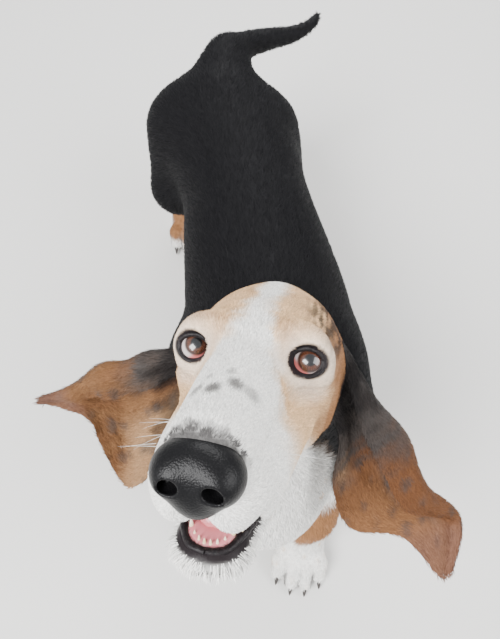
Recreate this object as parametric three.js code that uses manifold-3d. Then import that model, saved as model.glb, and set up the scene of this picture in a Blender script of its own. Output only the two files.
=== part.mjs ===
// A basset hound, life size, standing square with its head thrown up and back to look overhead.
// Millimetres. X runs to the dog's left, Y to its rear, Z up. The paws stand on Z = 0.
import * as THREE from 'three';
import { mergeVertices } from 'three/addons/utils/BufferGeometryUtils.js';
import Module from 'manifold-3d';

const wasm = await Module();
wasm.setup();

// Driving dimensions.
const WITHERS_HEIGHT = 345;
const GAP = 0.3;
const RIB_HALF_WIDTH = 112;
const LOIN_HALF_WIDTH = 90;
const RUMP_HALF_WIDTH = 98;
const SKULL_HALF_WIDTH = 54;
const EYE_HALF_SPACING = 38;
const EYE_RADIUS = 12.4;
const MUZZLE_LENGTH = 113;
const NOSE_HALF_WIDTH = 21;
const JAW_HALF_WIDTH = 25;
const PAW_HALF_WIDTH = 39;
const EAR_THICKNESS = 4.4;

// The head frame: its origin lies midway between the eyes, Y points to the nape and Z to the crown.
const HEAD_PLACE = [-0.3, 100, 524.3];
const HEAD_PITCH = 47.5;
const HEAD_YAW = -18.9;
const HEAD_ROLL = -11.5;

// Small vector helpers on plain arrays.
const add = (a, b) => [a[0] + b[0], a[1] + b[1], a[2] + b[2]];
const sub = (a, b) => [a[0] - b[0], a[1] - b[1], a[2] - b[2]];
const scale = (a, k) => [a[0] * k, a[1] * k, a[2] * k];
const mix = (a, b, t) => add(scale(a, 1 - t), scale(b, t));
const dot = (a, b) => a[0] * b[0] + a[1] * b[1] + a[2] * b[2];
const cross = (a, b) => [a[1] * b[2] - a[2] * b[1], a[2] * b[0] - a[0] * b[2], a[0] * b[1] - a[1] * b[0]];
const unit = (a) => scale(a, 1 / Math.sqrt(dot(a, a)));
const mirror = (a) => [-a[0], a[1], a[2]];

const headEuler = new THREE.Euler(
  THREE.MathUtils.degToRad(-HEAD_PITCH),
  THREE.MathUtils.degToRad(HEAD_ROLL),
  THREE.MathUtils.degToRad(HEAD_YAW),
  'ZXY',
);
const headToBody = new THREE.Matrix4().makeRotationFromEuler(headEuler).setPosition(...HEAD_PLACE);
const bodyToHead = headToBody.clone().invert();
const moved = (matrix, p) => new THREE.Vector3(...p).applyMatrix4(matrix).toArray();
const turned = (matrix, p) => new THREE.Vector3(...p).transformDirection(matrix).toArray();

// Forms are distance fields: a function of a point that is negative inside the form.

// An egg has a centre, three half-lengths and a turn about Z in degrees.
function egg(centre, radii, turn = 0) {
  const cosine = Math.cos(THREE.MathUtils.degToRad(turn));
  const sine = Math.sin(THREE.MathUtils.degToRad(turn));
  return (p) => {
    const dx = p[0] - centre[0];
    const dy = p[1] - centre[1];
    const x = (dx * cosine + dy * sine) / radii[0];
    const y = (dy * cosine - dx * sine) / radii[1];
    const z = (p[2] - centre[2]) / radii[2];
    const k0 = Math.sqrt(x * x + y * y + z * z) + 1e-6;
    const k1 = Math.sqrt((x / radii[0]) ** 2 + (y / radii[1]) ** 2 + (z / radii[2]) ** 2) + 1e-9;
    return k0 * (k0 - 1) / k1;
  };
}

// A limb is a round bar from a to b whose radius runs from ra to rb.
function limb(a, b, ra, rb) {
  const axis = sub(b, a);
  const long = dot(axis, axis);
  return (p) => {
    const from = sub(p, a);
    const t = Math.min(1, Math.max(0, dot(from, axis) / long));
    const rest = sub(from, scale(axis, t));
    return Math.sqrt(dot(rest, rest)) - (ra + (rb - ra) * t);
  };
}

// A join rounds the forms into one another over the width k.
function join(k, ...forms) {
  return (p) => {
    let d = forms[0](p);
    for (let i = 1; i < forms.length; i += 1) {
      const e = forms[i](p);
      const h = Math.max(k - Math.abs(d - e), 0) / k;
      d = Math.min(d, e) - h * h * k / 4;
    }
    return d;
  };
}

// A carve takes the second form out of the first with an edge rounded over k.
function carve(k, form, tool) {
  return (p) => {
    const d = form(p);
    const e = -tool(p);
    const h = Math.max(k - Math.abs(d - e), 0) / k;
    return Math.max(d, e) + h * h * k / 4;
  };
}

const both = (make) => join(6, make((v) => v), make(mirror));
const inFrame = (matrix, form) => (p) => form(moved(matrix, p));

// A form's skin as a closed mesh of near-square faces, drawn on the true surface.
function skinOf(form, low, high, cell) {
  const n = [0, 1, 2].map((i) => Math.ceil((high[i] - low[i]) / cell[i]) + 1);
  const at = (i, j, k) => i + n[0] * (j + n[1] * k);
  const place = (i, j, k) => [low[0] + i * cell[0], low[1] + j * cell[1], low[2] + k * cell[2]];
  const value = new Float32Array(n[0] * n[1] * n[2]);
  for (let k = 0; k < n[2]; k += 1) {
    for (let j = 0; j < n[1]; j += 1) {
      for (let i = 0; i < n[0]; i += 1) {
        const rim = i === 0 || j === 0 || k === 0 || i === n[0] - 1 || j === n[1] - 1 || k === n[2] - 1;
        value[at(i, j, k)] = rim ? 1 : form(place(i, j, k));
      }
    }
  }
  const index = new Int32Array(value.length).fill(-1);
  const points = [];
  const corners = [0, 1, 2, 3, 4, 5, 6, 7].map((c) => [c & 1, (c >> 1) & 1, c >> 2]);
  for (let k = 0; k < n[2] - 1; k += 1) {
    for (let j = 0; j < n[1] - 1; j += 1) {
      for (let i = 0; i < n[0] - 1; i += 1) {
        let total = [0, 0, 0];
        let count = 0;
        for (const a of corners) {
          const va = value[at(i + a[0], j + a[1], k + a[2])];
          for (let axis = 0; axis < 3; axis += 1) {
            if (a[axis] === 1) continue;
            const b = [...a];
            b[axis] = 1;
            const vb = value[at(i + b[0], j + b[1], k + b[2])];
            if ((va < 0) === (vb < 0)) continue;
            const t = va / (va - vb);
            const start = place(i + a[0], j + a[1], k + a[2]);
            const end = place(i + b[0], j + b[1], k + b[2]);
            total = add(total, mix(start, end, t));
            count += 1;
          }
        }
        if (count === 0) continue;
        index[at(i, j, k)] = points.length;
        points.push(settle(form, scale(total, 1 / count), Math.min(...cell) * 0.5));
      }
    }
  }
  const faces = [];
  const steps = [[0, 1, 2], [1, 2, 0], [2, 0, 1]];
  for (let k = 0; k < n[2] - 1; k += 1) {
    for (let j = 0; j < n[1] - 1; j += 1) {
      for (let i = 0; i < n[0] - 1; i += 1) {
        const inside = value[at(i, j, k)] < 0;
        for (const [axis, u, v] of steps) {
          const q = [i, j, k];
          if (q[u] === 0 || q[v] === 0) continue;
          q[axis] += 1;
          if (inside === (value[at(...q)] < 0)) continue;
          const around = [[0, 0], [1, 0], [1, 1], [0, 1]].map(([du, dv]) => {
            const c = [i, j, k];
            c[u] -= du;
            c[v] -= dv;
            return index[at(...c)];
          });
          if (!inside) around.reverse();
          pushQuad(faces, points, around);
        }
      }
    }
  }
  return meshOf(points, faces);
}

// Moves a point along the form's slope onto its surface, at most by the given reach.
function settle(form, start, reach) {
  let p = start;
  const h = 0.4;
  for (let round = 0; round < 2; round += 1) {
    const d = form(p);
    const slope = [0, 1, 2].map((i) => {
      const q = [...p];
      q[i] += h;
      return (form(q) - d) / h;
    });
    const size = Math.max(dot(slope, slope), 0.05);
    const step = Math.max(-reach, Math.min(reach, d / Math.sqrt(size)));
    p = sub(p, scale(slope, step / Math.sqrt(size)));
  }
  return p;
}

// A quad is split along its shorter diagonal.
function pushQuad(faces, points, [a, b, c, d]) {
  const ac = sub(points[a], points[c]);
  const bd = sub(points[b], points[d]);
  if (dot(ac, ac) <= dot(bd, bd)) faces.push([a, b, c], [a, c, d]);
  else faces.push([a, b, d], [b, c, d]);
}

function meshOf(points, faces) {
  const geometry = new THREE.BufferGeometry();
  geometry.setAttribute('position', new THREE.BufferAttribute(new Float32Array(points.flat()), 3));
  geometry.setIndex(faces.flat());
  return geometry;
}

// Geometry to a solid that can be joined and cut, and back.
function solid(geometry) {
  const bare = geometry.clone();
  for (const name of Object.keys(bare.attributes)) {
    if (name !== 'position') bare.deleteAttribute(name);
  }
  const merged = mergeVertices(bare, 1e-4);
  const mesh = new wasm.Mesh({
    numProp: 3,
    vertProperties: new Float32Array(merged.attributes.position.array),
    triVerts: new Uint32Array(merged.index.array),
  });
  mesh.merge();
  return new wasm.Manifold(mesh);
}

// Corners closer together than this are one corner.
const SAME_PLACE = 0.01;

// The faces that still have three corners of their own, without the pairs
// that lie back to back.
function wholeFaces(faces, cornerOf) {
  const kept = new Map();
  for (let i = 0; i < faces.length; i += 3) {
    const face = [cornerOf(faces[i]), cornerOf(faces[i + 1]), cornerOf(faces[i + 2])];
    if (face[0] === face[1] || face[1] === face[2] || face[2] === face[0]) continue;
    const name = [...face].sort((p, q) => p - q).join(' ');
    if (kept.has(name)) kept.delete(name);
    else kept.set(name, face);
  }
  return [...kept.values()].flat();
}

// The lines on which more than two faces meet.
function crowdedLines(faces) {
  const lines = new Map();
  for (let i = 0; i < faces.length; i += 3) {
    for (let j = 0; j < 3; j += 1) {
      const ends = [faces[i + j], faces[i + (j + 1) % 3]].sort((p, q) => p - q);
      const name = ends.join(' ');
      const line = lines.get(name) ?? { ends, faces: 0 };
      line.faces += 1;
      lines.set(name, line);
    }
  }
  return [...lines.values()].filter((line) => line.faces !== 2);
}

// Where two folds of a surface touch along a line, the line is drawn together
// to a point, so that every line that is left has one face on each side.
function geometryOf(body) {
  const mesh = body.getMesh();
  const places = [];
  const corners = new Map();
  const cornerAt = [];
  for (let i = 0; i < mesh.numVert; i += 1) {
    const start = i * mesh.numProp;
    const point = Array.from(mesh.vertProperties.slice(start, start + 3));
    const name = point.map((value) => Math.round(value / SAME_PLACE)).join(' ');
    if (!corners.has(name)) {
      corners.set(name, corners.size);
      places.push(...point);
    }
    cornerAt.push(corners.get(name));
  }
  let faces = wholeFaces(Array.from(mesh.triVerts), (corner) => cornerAt[corner]);
  for (let lines = crowdedLines(faces); lines.length > 0; lines = crowdedLines(faces)) {
    const drawnTo = new Map(lines.map(({ ends }) => [ends[1], ends[0]]));
    const cornerOf = (corner) => drawnTo.get(corner) ?? corner;
    faces = wholeFaces(faces, cornerOf);
  }
  const geometry = new THREE.BufferGeometry();
  geometry.setAttribute('position', new THREE.BufferAttribute(new Float32Array(places), 3));
  geometry.setIndex(faces);
  return geometry;
}

function largest(body) {
  return body.decompose().reduce((a, b) => (a.volume() >= b.volume() ? a : b));
}

// The grid is shifted a little until no cell is crossed twice, which would pinch the surface.
const GRID_SHIFTS = [0, 0.31, 0.57, 0.13, 0.79, 0.43];
function skin(form, low, high, cell) {
  for (const shift of GRID_SHIFTS) {
    const start = low.map((v, i) => v - shift * cell[i]);
    try {
      return largest(solid(skinOf(form, start, high, cell)));
    } catch (pinched) {
      if (shift === GRID_SHIFTS.at(-1)) throw pinched;
    }
  }
  return null;
}

// A great block that fills the side of a plane that its normal points to.
function sideOf(point, normal, back = 0) {
  const reach = 1500;
  const block = new THREE.BoxGeometry(2 * reach, 2 * reach, 2 * reach);
  block.translate(0, 0, reach);
  const facing = unit(normal);
  block.applyQuaternion(new THREE.Quaternion().setFromUnitVectors(
    new THREE.Vector3(0, 0, 1),
    new THREE.Vector3(...facing),
  ));
  block.translate(...add(point, scale(facing, back)));
  return solid(block);
}

// A block between two corners, turned about Y and grown on every side.
function blockOf(low, high, tilt, grow) {
  const size = sub(high, low);
  const middle = mix(low, high, 0.5);
  const block = new THREE.BoxGeometry(...size.map((v) => v + 2 * grow));
  block.rotateY(THREE.MathUtils.degToRad(tilt));
  block.translate(...middle);
  return solid(block);
}

// Torso: rib cage, loin, rump and forechest run into one another, swung a little to the right at the rear.
const ribs = egg([24, 216, 227], [RIB_HALF_WIDTH, 192, 114]);
const loin = egg([-4, 400, 240], [LOIN_HALF_WIDTH, 150, 92]);
const rump = egg([-42, 535, 248], [RUMP_HALF_WIDTH, 104, 86], 16);
const forechest = egg([14, 46, 222], [74, 80, 84]);
const shoulderLeft = egg([97, 140, 244], [44, 84, 84], -4);
const shoulderRight = egg([-58, 140, 240], [44, 82, 86], 8);
const withers = egg([20, 150, WITHERS_HEIGHT - 45], [56, 90, 42]);
const tailRoot = limb([-40, 570, 292], [-36, 622, 316], 42, 24);

// Legs: each is a chain of bars through its joints down to a paw that stands on the floor.
const LEGS = {
  front_left: {
    top: [94, 100, 250], knee: [104, 92, 172], ankle: [86, 6, 92], paw: [77, -16, 0],
    turn: -5, radii: [52, 42, 31], part: { low: [64, -130, -20], high: [200, 178, 206], tilt: 4 },
  },
  front_right: {
    top: [-62, 108, 250], knee: [-76, 112, 172], ankle: [-62, 46, 92], paw: [-58, 27, 0],
    turn: 6, radii: [52, 42, 31], part: { low: [-170, -90, -20], high: [-34, 190, 206], tilt: -4 },
  },
  hind_left: {
    top: [16, 545, 245], knee: [38, 490, 186], ankle: [36, 582, 100], paw: [36, 566, 0],
    turn: 2, radii: [56, 46, 25], part: { low: [0, 418, -20], high: [130, 660, 212], tilt: 3 },
  },
  hind_right: {
    top: [-97, 550, 245], knee: [-110, 490, 188], ankle: [-122, 574, 98], paw: [-117, 552, 0],
    turn: 6, radii: [60, 46, 25], part: { low: [-220, 418, -20], high: [-78, 660, 212], tilt: -3 },
  },
};

// A paw has four arched toes side by side before a broad heel, in a frame that looks along -Y.
const TOE_SPREAD = [-1.5, -0.5, 0.5, 1.5];
const TOE_PITCH = PAW_HALF_WIDTH * 0.52;
function pawForm() {
  const heel = egg([0, -8, 22], [PAW_HALF_WIDTH * 0.86, 34, 30]);
  const toes = TOE_SPREAD.map((i) => {
    const x = i * TOE_PITCH;
    const lead = 12 * (1.5 - Math.abs(i));
    const knuckle = [x * 0.86, -44 - lead * 0.4, 24];
    const tip = [x, -61 - lead, 10];
    return join(7, limb([x * 0.5, -14, 22], knuckle, 17, 14.5), limb(knuckle, tip, 14.5, 11.5));
  });
  return join(9, heel, join(3.5, ...toes));
}

function clawRoots() {
  return TOE_SPREAD.map((i) => {
    const lead = 12 * (1.5 - Math.abs(i));
    return [i * TOE_PITCH, -66 - lead, 13];
  });
}

function pawFrame(leg) {
  return new THREE.Matrix4().makeRotationZ(THREE.MathUtils.degToRad(leg.turn)).setPosition(...leg.paw);
}

function legForm(leg) {
  const [thigh, shank, wrist] = leg.radii;
  const heel = add(leg.paw, [0, -4, 30]);
  const paw = inFrame(pawFrame(leg).clone().invert(), pawForm());
  const wrinkles = [0, 1, 2].map((i) => {
    const along = mix(leg.ankle, leg.knee, 0.06 + 0.2 * i);
    return egg(along, [wrist * 1.1, wrist * 1.16, 9]);
  });
  return join(
    16,
    limb(leg.top, leg.knee, thigh, shank),
    limb(leg.knee, leg.ankle, shank * 0.93, wrist),
    limb(leg.ankle, heel, wrist, wrist * 1.02),
    ...wrinkles,
    paw,
  );
}

const legForms = Object.fromEntries(Object.entries(LEGS).map(([name, leg]) => [name, legForm(leg)]));

// Neck: thick and short, drawn up and back, with a loose throat and rolls of skin at the nape.
const throatTop = moved(headToBody, [0, 40, -70]);
const neckTop = moved(headToBody, [0, 92, -38]);
const neckCore = join(
  40,
  limb(neckTop, [13, 102, 300], 54, 84),
  limb(throatTop, [8, 40, 262], 27, 62),
);
const napeRolls = [0, 1, 2].map((i) => egg([20, 146 + 3 * i, 366 + 25 * i], [52 - 5 * i, 40, 14]));
const neck = join(14, neckCore, ...napeRolls);

// Head, in its own frame.
const cranium = egg([0, 62, -18], [SKULL_HALF_WIDTH, 66, 41]);
const occiput = egg([0, 112, -2], [15, 20, 14]);
const forehead = egg([0, 26, -9], [44, 38, 32]);
const brows = both((side) => egg(side([30, 8, 9]), [18, 14, 12]));
const cheeks = both((side) => egg(side([40, 34, -27]), [19, 38, 29]));
const jowls = both((side) => egg(side([37, 50, -54]), [22, 36, 30]));
const muzzle = limb([0, 12, -20], [0, -88, -20], 33, 25);
const bridge = limb([0, 0, -1], [0, -90, -6], 14, 12);
const lips = both((side) => join(
  12,
  limb(side([28, -8, -44]), side([19, -84, -36]), 18, 15),
  egg(side([28, -44, -52]), [9, 38, 23]),
));
const lipFront = both((side) => egg(side([11, -98, -31]), [14, 13, 15]));
const eyeSockets = both((side) => egg(side([EYE_HALF_SPACING, 9, -4]), [17, 13, 15]));
const hollowUnderEye = both((side) => egg(side([50, -28, 4]), [14, 20, 13]));
const palate = join(
  10,
  limb([0, -24, -64], [0, -86, -58], 19, 14),
  egg([0, -50, -76], [21, 60, 20]),
);
const earRoots = both((side) => egg(side([46, 66, -34]), [15, 20, 26]));

const upperHead = carve(
  5,
  join(
    14,
    join(18, cranium, forehead, occiput),
    cheeks,
    jowls,
    brows,
    eyeSockets,
    earRoots,
    join(9, join(14, muzzle, bridge), lips, lipFront),
  ),
  join(4, palate, hollowUnderEye),
);

// Lower jaw, dropped open.
const JAW_ROOT = [0, 30, -70];
const jawBars = both((side) => limb(side([28, 26, -72]), side([11, -74, -84]), 15, 11));
const chin = egg([0, -84, -85], [JAW_HALF_WIDTH - 4, 14, 11]);
const jawFloor = limb(JAW_ROOT, [0, -70, -88], 24, 12);
const mouthFloor = egg([0, -40, -65], [15, 42, 12]);
const jaw = carve(4, join(10, jawBars, chin, jawFloor), mouthFloor);
const JAW_CUT = -20;
const JAW_ROOM = 1.5;
const JAW_CLEARANCE = 2.4;

const neckInHead = inFrame(headToBody, neck);
const headForm = join(22, join(12, upperHead, (p) => Math.max(jaw(p), JAW_CUT - 6 - p[1])), neckInHead);
const headInBody = inFrame(bodyToHead, headForm);

// Planes that part the head from the neck and the neck from the torso.
const headPlane = { point: [0, 98, -30], normal: [0, 0.814, -0.581] };
const neckPlane = { point: [14, 95, 322], normal: [0, -0.36, 0.93] };
const headPlaneInBody = {
  point: moved(headToBody, headPlane.point),
  normal: turned(headToBody, headPlane.normal),
};

const trunk = join(
  44,
  join(60, ribs, loin, rump, forechest, withers),
  shoulderLeft,
  shoulderRight,
  tailRoot,
);
const body = join(30, trunk, ...Object.values(legForms), neck);

// A tube along a list of stations, each with a centre and a half-width and half-height of its section.
function tube(stations, sides, upHint) {
  const points = [];
  const faces = [];
  stations.forEach((station, i) => {
    const ahead = stations[Math.min(i + 1, stations.length - 1)].centre;
    const behind = stations[Math.max(i - 1, 0)].centre;
    const along = unit(sub(ahead, behind));
    const across = unit(cross(upHint, along));
    const up = cross(along, across);
    for (let s = 0; s < sides; s += 1) {
      const angle = 2 * Math.PI * s / sides;
      const ring = add(
        scale(across, Math.cos(angle) * station.wide),
        scale(up, Math.sin(angle) * station.high),
      );
      points.push(add(station.centre, ring));
    }
  });
  for (let i = 0; i < stations.length - 1; i += 1) {
    for (let s = 0; s < sides; s += 1) {
      const t = (s + 1) % sides;
      const a = i * sides;
      const b = a + sides;
      faces.push([a + s, a + t, b + t], [a + s, b + t, b + s]);
    }
  }
  const last = (stations.length - 1) * sides;
  const first = points.length;
  points.push(stations[0].centre, stations[stations.length - 1].centre);
  for (let s = 0; s < sides; s += 1) {
    const t = (s + 1) % sides;
    faces.push([first, t, s], [first + 1, last + s, last + t]);
  }
  return meshOf(points, faces);
}

const curve = (points) => new THREE.CatmullRomCurve3(points.map((p) => new THREE.Vector3(...p)));

// Tail: carried back and to the left, thick at the root and blunt at the tip.
const TAIL_PATH = [
  [-38, 606, 312],
  [-14, 646, 308],
  [28, 678, 296],
  [68, 702, 286],
  [98, 728, 284],
  [112, 748, 290],
];
const TAIL_RINGS = 13;
const TAIL_ROOT_RADIUS = 25;
const TAIL_TIP_RADIUS = 6;
function tailStations() {
  const path = curve(TAIL_PATH);
  const list = [];
  for (let i = 0; i <= TAIL_RINGS; i += 1) {
    const t = i / TAIL_RINGS;
    const round = Math.sqrt(Math.max(0.04, 1 - Math.max(0, (t - 0.94) / 0.06) ** 2));
    const radius = (TAIL_ROOT_RADIUS + (TAIL_TIP_RADIUS - TAIL_ROOT_RADIUS) * t ** 0.9) * round;
    list.push({ centre: path.getPointAt(t).toArray(), wide: radius, high: radius * 1.1 });
  }
  return list;
}

// Ears: each is a hanging leaf of skin whose rear margin folds over towards the front.
// A row runs across the ear from its front margin to the fold. lap is how far the folded margin comes back.
const EARS = {
  left: {
    rows: [
      { front: [59, 77, 452], fold: [68, 127, 472], hollow: 3, roll: 7, lap: 12 },
      { front: [75, 60, 415], fold: [97, 94, 440], hollow: 6, roll: 12, lap: 24 },
      { front: [77, 22, 352], fold: [138, 64, 388], hollow: 12, roll: 14, lap: 33 },
      { front: [99, -10, 312], fold: [165, 25, 348], hollow: 11, roll: 12, lap: 27 },
      { front: [150, -18, 300], fold: [204, 0, 314], hollow: 4, roll: 6, lap: 12 },
      { front: [184, -53, 296], fold: [193, -49, 298], hollow: 0, roll: 4, lap: 3 },
    ],
  },
  right: {
    rows: [
      { front: [-39, 86, 430], fold: [-41, 130, 449], hollow: 3, roll: 7, lap: 12 },
      { front: [-93, 34, 358], fold: [-83, 125, 445], hollow: 9, roll: 13, lap: 28 },
      { front: [-120, 29, 329], fold: [-110, 121, 434], hollow: 12, roll: 14, lap: 28 },
      { front: [-138, 58, 352], fold: [-134, 119, 422], hollow: 10, roll: 13, lap: 24 },
      { front: [-149, 84, 375], fold: [-158, 107, 404], hollow: 4, roll: 8, lap: 10 },
      { front: [-185, 97, 388], fold: [-189, 101, 392], hollow: 0, roll: 4, lap: 3 },
    ],
  },
};
const EAR_STEPS_LONG = 13;
const EAR_STEPS_STUB = 2;
const EAR_STEPS_ACROSS = 10;
const EAR_STUB = 0.1;

function earSheet(ear, from, to, steps) {
  const front = curve(ear.rows.map((row) => row.front));
  const fold = curve(ear.rows.map((row) => row.fold));
  const last = ear.rows.length - 1;
  const value = (key, s) => {
    const i = Math.min(last - 1, Math.floor(s * last));
    return THREE.MathUtils.lerp(ear.rows[i][key], ear.rows[i + 1][key], s * last - i);
  };
  const centres = [];
  for (let i = 0; i <= steps; i += 1) {
    const s = from + (to - from) * i / steps;
    const a = front.getPoint(s).toArray();
    const b = fold.getPoint(s).toArray();
    const across = unit(sub(b, a));
    const ahead = fold.getPoint(Math.min(1, s + 0.05)).toArray();
    const behind = fold.getPoint(Math.max(0, s - 0.05)).toArray();
    const down = unit(sub(ahead, behind));
    let face = unit(cross(across, down));
    if (face[2] < 0) face = scale(face, -1);
    const section = curve([
      a,
      add(mix(a, b, 0.35), scale(face, -value('hollow', s))),
      add(mix(a, b, 0.78), scale(face, -value('hollow', s) * 0.8)),
      b,
      add(sub(b, scale(across, value('roll', s) * 0.3)), scale(face, value('roll', s) * 0.9)),
      add(sub(b, scale(across, value('lap', s))), scale(face, value('roll', s) * 0.75)),
    ]);
    const row = [];
    for (let j = 0; j <= EAR_STEPS_ACROSS; j += 1) {
      row.push(section.getPointAt(j / EAR_STEPS_ACROSS).toArray());
    }
    centres.push(row);
  }
  return thicken(centres);
}

// Gives a grid of points a thickness along its own normals and closes it round the edge.
function thicken(rows) {
  const m = rows.length;
  const n = rows[0].length;
  const top = [];
  const bottom = [];
  for (let i = 0; i < m; i += 1) {
    for (let j = 0; j < n; j += 1) {
      const du = sub(rows[Math.min(i + 1, m - 1)][j], rows[Math.max(i - 1, 0)][j]);
      const dv = sub(rows[i][Math.min(j + 1, n - 1)], rows[i][Math.max(j - 1, 0)]);
      const normal = unit(cross(du, dv));
      const rim = Math.min(j, n - 1 - j, m - 1 - i);
      const half = EAR_THICKNESS / 2 * (rim === 0 ? 0.5 : 1);
      top.push(add(rows[i][j], scale(normal, half)));
      bottom.push(sub(rows[i][j], scale(normal, half)));
    }
  }
  const points = [...top, ...bottom];
  const under = m * n;
  const faces = [];
  const at = (i, j) => i * n + j;
  for (let i = 0; i < m - 1; i += 1) {
    for (let j = 0; j < n - 1; j += 1) {
      const [a, b, c, d] = [at(i, j), at(i + 1, j), at(i + 1, j + 1), at(i, j + 1)];
      faces.push([a, b, c], [a, c, d]);
      faces.push([under + a, under + c, under + b], [under + a, under + d, under + c]);
    }
  }
  const edge = [];
  for (let j = 0; j < n; j += 1) edge.push(at(0, j));
  for (let i = 1; i < m; i += 1) edge.push(at(i, n - 1));
  for (let j = n - 2; j >= 0; j -= 1) edge.push(at(m - 1, j));
  for (let i = m - 2; i > 0; i -= 1) edge.push(at(i, 0));
  for (let i = 0; i < edge.length; i += 1) {
    const a = edge[i];
    const b = edge[(i + 1) % edge.length];
    faces.push([a, b, under + b], [a, under + b, under + a]);
  }
  const mesh = solid(meshOf(points, faces));
  if (mesh.volume() > 0) return mesh;
  return solid(meshOf(points, faces.map(([a, b, c]) => [a, c, b])));
}

// A tooth or claw: a bent cone from a root to a tip.
function spike(root, tip, radius, sag, sides) {
  const along = sub(tip, root);
  const stations = [0, 0.5, 1].map((t) => ({
    centre: add(add(root, scale(along, t)), scale(sag, Math.sin(Math.PI * t) * 0.5)),
    wide: radius * (1 - 0.86 * t ** 1.4),
    high: radius * (1 - 0.86 * t ** 1.4),
  }));
  return tube(stations, sides, [0.13, 0.37, 0.9]);
}

const joined = (first, rest) => rest.reduce((all, one) => all.add(one), first);

// Materials.
const paint = (color, roughness) => (
  new THREE.MeshStandardMaterial({ color, roughness, metalness: 0 })
);
const blackCoat = paint(0x17161a, 0.6);
const whiteCoat = paint(0xe9e4da, 0.75);
const creamCoat = paint(0xd9c3a4, 0.75);
const tanCoat = paint(0x9a6238, 0.75);
const earCoat = paint(0x7a4b2c, 0.7);
const noseSkin = paint(0x141416, 0.4);
const eyeGlass = paint(0x3a1a0c, 0.1);
const gumSkin = paint(0xc06a70, 0.4);

const dog = new THREE.Group();
const head = new THREE.Group();
head.position.set(...HEAD_PLACE);
head.rotation.copy(headEuler);
dog.add(head);

function place(group, name, shape, material) {
  const mesh = new THREE.Mesh(geometryOf(largest(shape)), material);
  mesh.name = name;
  group.add(mesh);
}

// Torso, less the blocks that part the legs, the neck and the tail from it.
const tailPlane = { point: [-36, 616, 314], normal: [0.25, 0.93, -0.05] };
const legBlocks = Object.values(LEGS).map(({ part }) => (
  blockOf(part.low, part.high, part.tilt, GAP)
));
const torso = legBlocks.reduce(
  (all, block) => all.subtract(block),
  skin(body, [-190, -70, 60], [190, 690, 420], [24, 30, 22])
    .subtract(sideOf(neckPlane.point, neckPlane.normal, -GAP))
    .subtract(sideOf(tailPlane.point, tailPlane.normal, -GAP)),
);
place(dog, 'torso', torso, blackCoat);

// Legs and paws.
const PAW_TOP = 52;
const LEG_MARGIN = 26;
for (const [name, leg] of Object.entries(LEGS)) {
  const { low, high, tilt } = leg.part;
  const [x, y] = leg.paw;
  const whole = skin(body, low.map((v) => v - LEG_MARGIN), high.map((v) => v + LEG_MARGIN), [16.5, 17, 17])
    .intersect(blockOf(low, high, tilt, 0));
  place(dog, `leg_${name}`, whole.intersect(sideOf([0, 0, PAW_TOP + GAP], [0, 0, 1])), tanCoat);
  const claws = clawRoots().map((root, i) => {
    const tip = add(root, [TOE_SPREAD[i] * 1.2, -10, -8]);
    const claw = spike(add(root, [0, 9, 0]), tip, 4.4, [0, -2, 3], 5);
    claw.applyMatrix4(pawFrame(leg));
    return solid(claw);
  });
  const foot = skin(body, [x - 62, y - 100, -12], [x + 62, y + 56, 70], [12.5, 13, 11]);
  const paw = joined(foot, claws)
    .intersect(sideOf([0, 0, 0], [0, 0, 1]))
    .subtract(sideOf([0, 0, PAW_TOP], [0, 0, 1]));
  place(dog, `paw_${name}`, paw, whiteCoat);
}

// Neck.
const neckSolid = skin(join(22, body, headInBody), [-140, -75, 230], [200, 250, 520], [20, 20, 19])
  .intersect(sideOf(neckPlane.point, neckPlane.normal))
  .intersect(sideOf(headPlaneInBody.point, headPlaneInBody.normal, GAP));
place(dog, 'neck', neckSolid, whiteCoat);

// Tail.
place(
  dog,
  'tail',
  solid(tube(tailStations(), 10, [0, 0, 1])).intersect(sideOf(tailPlane.point, tailPlane.normal)),
  blackCoat,
);

// Eyes and their lids.
const eyePlace = (side) => side([EYE_HALF_SPACING, 7.5, -4]);
const gaze = unit([0, -0.9, 0.4]);
const ball = (centre, radius) => {
  const geometry = new THREE.SphereGeometry(radius, 14, 9);
  geometry.translate(...centre);
  return solid(geometry);
};
function lidRing(centre, sign) {
  const right = unit(cross(gaze, [0, 0, 1]));
  const up = cross(right, gaze);
  const list = [];
  const turns = 16;
  for (let i = 0; i <= turns; i += 1) {
    const angle = 2 * Math.PI * i / turns;
    const open = Math.sin(angle) > 0 ? 9.4 : 9.8;
    const flat = add(
      scale(right, Math.cos(angle) * 11.6),
      scale(up, Math.sin(angle) * open + sign * Math.cos(angle) * 1.2),
    );
    const depth = Math.sqrt(Math.max(0, (EYE_RADIUS + 1.5) ** 2 - dot(flat, flat)));
    list.push({ centre: add(centre, add(flat, scale(gaze, depth))), wide: 2.6, high: 2.6 });
  }
  return ringTube(list.slice(0, turns), 5, centre);
}

// A tube that closes on itself round a centre.
function ringTube(stations, sides, middle) {
  const count = stations.length;
  const points = [];
  const faces = [];
  stations.forEach((station, i) => {
    const along = unit(sub(stations[(i + 1) % count].centre, stations[(i + count - 1) % count].centre));
    const out = unit(sub(station.centre, middle));
    const across = unit(cross(out, along));
    const up = cross(along, across);
    for (let s = 0; s < sides; s += 1) {
      const angle = 2 * Math.PI * s / sides;
      points.push(add(station.centre, add(
        scale(across, Math.cos(angle) * station.wide),
        scale(up, Math.sin(angle) * station.high),
      )));
    }
  });
  for (let i = 0; i < count; i += 1) {
    for (let s = 0; s < sides; s += 1) {
      const t = (s + 1) % sides;
      const a = i * sides;
      const b = ((i + 1) % count) * sides;
      faces.push([a + s, a + t, b + t], [a + s, b + t, b + s]);
    }
  }
  const made = solid(meshOf(points, faces));
  if (made.volume() > 0) return made;
  return solid(meshOf(points, faces.map(([a, b, c]) => [a, c, b])));
}

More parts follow.
